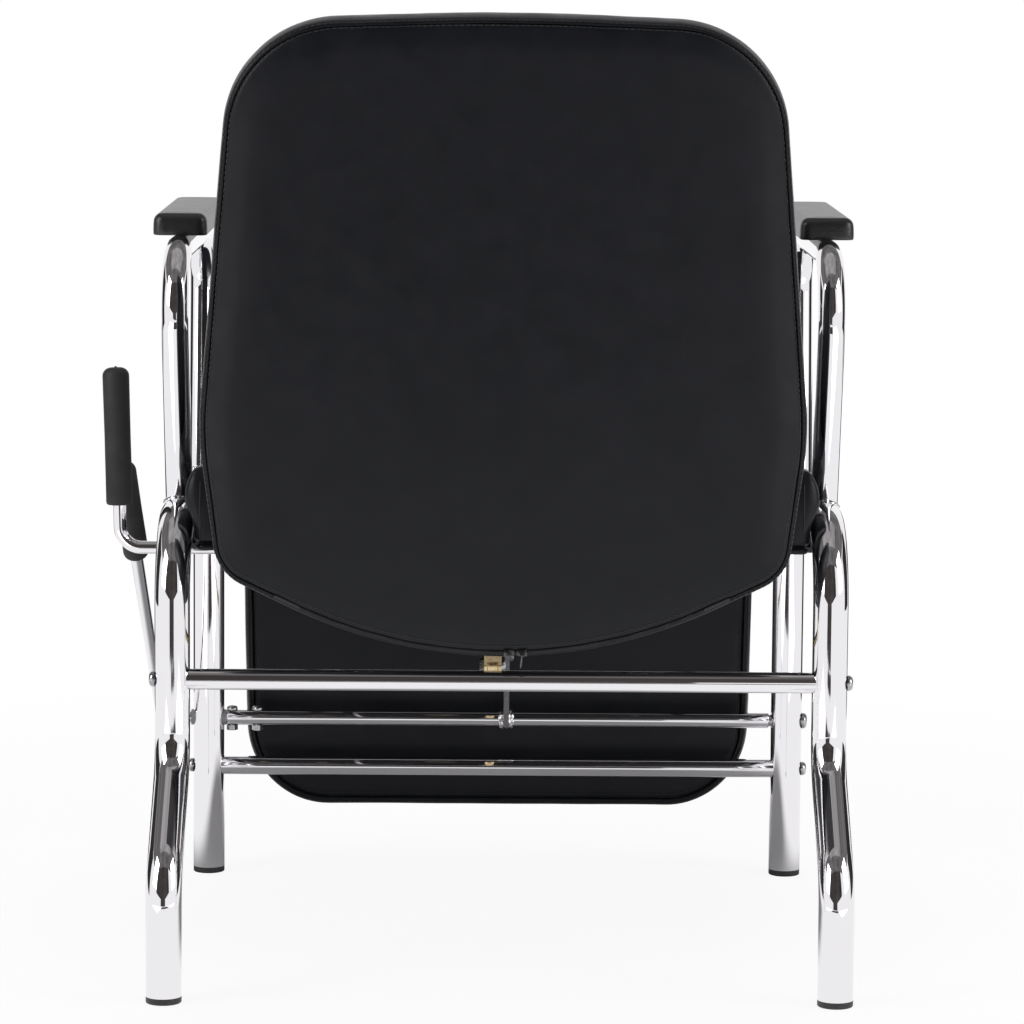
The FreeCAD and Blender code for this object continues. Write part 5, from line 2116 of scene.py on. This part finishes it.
@dataclass(frozen=True)
class Lamp:
    """One soft box.

    Attributes:
        name: The lamp's name.
        place: Where it stands.
        size: Its width and height.
        watts: Its power.
        mirrored: Whether gloss shows it.
    """

    name: str
    place: Spot
    size: Flat
    watts: float
    mirrored: bool = True

    def hang(self, aim: Vector) -> None:
        """Put the lamp up.

        Args:
            aim: The place that it faces.
        """
        data = bpy.data.lights.new(self.name, "AREA")
        data.shape = "RECTANGLE"
        data.size, data.size_y = self.size
        data.energy = self.watts
        obj = bpy.data.objects.new(self.name, data)
        obj.location = self.place
        obj.visible_glossy = self.mirrored
        obj.rotation_euler = (aim - Vector(self.place)).to_track_quat("-Z", "Y").to_euler()
        bpy.context.scene.collection.objects.link(obj)


@dataclass(frozen=True)
class Flag:
    """A dark upright card ahead of the chair, one on each side.

    Attributes:
        word: Which it is, in its name.
        away: How far it stands from the frame's origin.
        sweep: Where it starts and ends, in degrees from straight ahead.
        top: Height of its top.
        foot: Height of its foot.
    """

    word: str
    away: float
    sweep: Flat
    top: float
    foot: float = 0.02

    def corners(self, side: Side) -> list[Spot]:
        """Stand the flag on one side.

        Args:
            side: The side.

        Returns:
            Its corners.
        """
        start, end = ((side.value * self.away * math.sin(a), self.away * math.cos(a))
                      for a in map(math.radians, self.sweep))
        return [(*start, self.foot), (*end, self.foot), (*end, self.top), (*start, self.top)]


@dataclass
class Studio:
    """Floor, cards, lamps, sky and camera."""

    camera_place: Spot = (-0.02375, -3.43029, 0.8081)
    pitch: float = 6.134
    yaw: float = 0.524
    roll: float = 0.447
    lens: float = 138.49
    sensor: float = 36.0
    ambient: float = 0.42
    floor_half: float = 14.0
    card_z: float = 0.004
    ceiling_half: float = 5.0
    ceiling_z: float = 3.1
    room_y: Flat = (-2.7, 3.0)
    panel_half: float = 1.6
    panel_y: Flat = (-1.1, 0.9)
    panel_z: float = 3.05
    wall_foot_x: Flat = (-0.85, 0.34)
    wall_x: Flat = (-2.6, 1.7)
    wall_z: Spot = (0.01, 0.42, 0.85)
    strip_half: float = 0.45
    rear_strip_y: float = -2.42
    strip_y: Flat = (-1.98, -1.25)
    bright_x: Flat = (0.55, 1.5)
    bright_y: Flat = (-1.9, -0.75)
    flags: tuple[Flag, ...] = (Flag("near", 1.5, (26, 54), 0.46), Flag("far", 3.2, (54, 88), 1.8))
    aim: Spot = (0, 0, 0.45)
    lamps: tuple[Lamp, ...] = (
        Lamp("left_soft_box", (-2.3, -1.5, 1.7), (1.2, 1.8), 34.0),
        Lamp("right_soft_box", (2.4, -1.2, 1.6), (1.2, 1.8), 26.0),
        Lamp("top_soft_box", (0.1, 0.2, 2.7), (1.6, 1.2), 30.0, False),
        Lamp("low_soft_box", (0.5, -3.0, 0.5), (1.6, 0.6), 8.0, False),
    )

    def build(self) -> None:
        """Set the studio up."""
        bpy.context.scene.view_settings.view_transform = "Standard"
        self._floor()
        self._cards()
        self._sky()
        for lamp in self.lamps:
            lamp.hang(Vector(self.aim))
        self._camera()
        LOG.info("studio with %d lamps", len(self.lamps))

    @staticmethod
    def _level(x: Flat, y: Flat, z: float) -> list[Spot]:
        """The corners of a level sheet."""
        return [(x[0], y[0], z), (x[1], y[0], z), (x[1], y[1], z), (x[0], y[1], z)]

    def _sheet(self, name: str, corners: Sequence[Spot], material: bpy.types.Material) -> bpy.types.Object:
        """Make a flat sheet that belongs to the studio.

        Args:
            name: Its name.
            corners: Its corners.
            material: Its finish.

        Returns:
            The sheet.
        """
        mesh = bpy.data.meshes.new(name)
        mesh.from_pydata(corners, [], [tuple(range(len(corners)))])
        mesh.materials.append(material)
        obj = bpy.data.objects.new(name, mesh)
        bpy.context.scene.collection.objects.link(obj)
        return obj

    def _floor(self) -> None:
        """The pale floor."""
        span = (-self.floor_half, self.floor_half)
        self._sheet("floor", self._level(span, span, 0), FloorFinish().build())

    def _wall(self) -> list[Spot]:
        """Draw the dim room behind the camera, which narrows to its foot.

        Returns:
            The wall's corners.
        """
        (left, right), (foot_left, foot_right) = self.wall_x, self.wall_foot_x
        foot, knee, hip = self.wall_z
        edge = [(foot_left, foot), (foot_right, foot), (foot_right, knee), (right, hip),
                (right, self.ceiling_z), (left, self.ceiling_z), (left, hip), (foot_left, knee)]
        return [(x, self.room_y[0], z) for x, z in edge]

    def _cards(self) -> None:
        """Glowing cards that only the chair's gloss sees, as painted reflections: a dim room and ceiling, a
        pale ceiling panel, dim and bright patches of floor, and dark flags ahead.
        """
        halves = (self.ceiling_half, self.panel_half, self.strip_half)
        ceiling, panel, strip = ((-half, half) for half in halves)
        rear_strip_y = (self.room_y[0], self.rear_strip_y)
        cards = [("dim_ceiling", CardTone.DIM_CEILING, self._level(ceiling, self.room_y, self.ceiling_z)),
                 ("pale_ceiling", CardTone.PALE_CEILING, self._level(panel, self.panel_y, self.panel_z)),
                 ("dim_room", CardTone.DIM_ROOM, self._wall()),
                 ("dim_floor_rear", CardTone.DIM_ROOM, self._level(strip, rear_strip_y, self.card_z)),
                 ("dim_floor", CardTone.DIM_ROOM, self._level(strip, self.strip_y, self.card_z))]
        for side in Side:
            span = (side.value * self.bright_x[0], side.value * self.bright_x[1])
            corners = self._level(span, self.bright_y, self.card_z)
            cards.append((side.word + "_bright_floor", CardTone.BRIGHT_FLOOR, corners))
            cards += [(f"{side.word}_{flag.word}_flag", CardTone.DARK_FLAG, flag.corners(side))
                      for flag in self.flags]
        materials = {tone: CardGlow(tone).build() for tone in CardTone}
        for name, tone, corners in cards:
            card = self._sheet(name, corners, materials[tone])
            card.visible_camera = False
            card.visible_diffuse = False
            card.visible_transmission = False
            card.visible_shadow = False

    def _sky(self) -> None:
        """A world that is white to the eye and in reflections, and a plain grey as light."""
        world = bpy.data.worlds.new("studio")
        bpy.context.scene.world = world
        world.use_nodes = True
        nodes, links = world.node_tree.nodes, world.node_tree.links
        nodes.clear()
        path = nodes.new("ShaderNodeLightPath")
        seen = path.outputs["Is Camera Ray"]
        for other in ("Is Glossy Ray", "Is Transmission Ray"):
            either = nodes.new("ShaderNodeMath")
            either.operation = "MAXIMUM"
            links.new(seen, either.inputs[0])
            links.new(path.outputs[other], either.inputs[1])
            seen = either.outputs[0]
        mix, out = nodes.new("ShaderNodeMixShader"), nodes.new("ShaderNodeOutputWorld")
        links.new(seen, mix.inputs[0])
        for socket, strength in ((1, self.ambient), (2, 1.0)):
            light = nodes.new("ShaderNodeBackground")
            light.inputs["Color"].default_value = (1, 1, 1, 1)
            light.inputs["Strength"].default_value = strength
            links.new(light.outputs[0], mix.inputs[socket])
        links.new(mix.outputs[0], out.inputs["Surface"])

    def _camera(self) -> None:
        """The camera, behind the chair and a little above its arms."""
        data = bpy.data.cameras.new("camera")
        data.lens = self.lens
        data.sensor_width = self.sensor
        obj = bpy.data.objects.new("camera", data)
        pitch, yaw = math.radians(self.pitch), math.radians(self.yaw)
        look = Vector((math.sin(yaw) * math.cos(pitch), math.cos(yaw) * math.cos(pitch), -math.sin(pitch)))
        turn = look.to_track_quat("-Z", "Y") @ Quaternion((0, 0, 1), math.radians(self.roll))
        obj.location = DATUM.at(*self.camera_place)
        obj.rotation_mode = "QUATERNION"
        obj.rotation_quaternion = turn
        bpy.context.scene.collection.objects.link(obj)
        bpy.context.scene.camera = obj


def main() -> None:
    """Dress the chair, set up the studio and note the sizes."""
    logging.basicConfig(level=logging.INFO, format="%(name)s: %(message)s")
    finishes = Finishes()
    Hardware(finishes).dress()
    for side in Side:
        SideFrame(side, finishes).dress()
    for assembly in (CrossBars, ReclineLever, LegRestLever, BackRest, SeatPad, LegRest):
        assembly(finishes).dress()
    Studio().build()


if __name__ == "__main__":
    main()
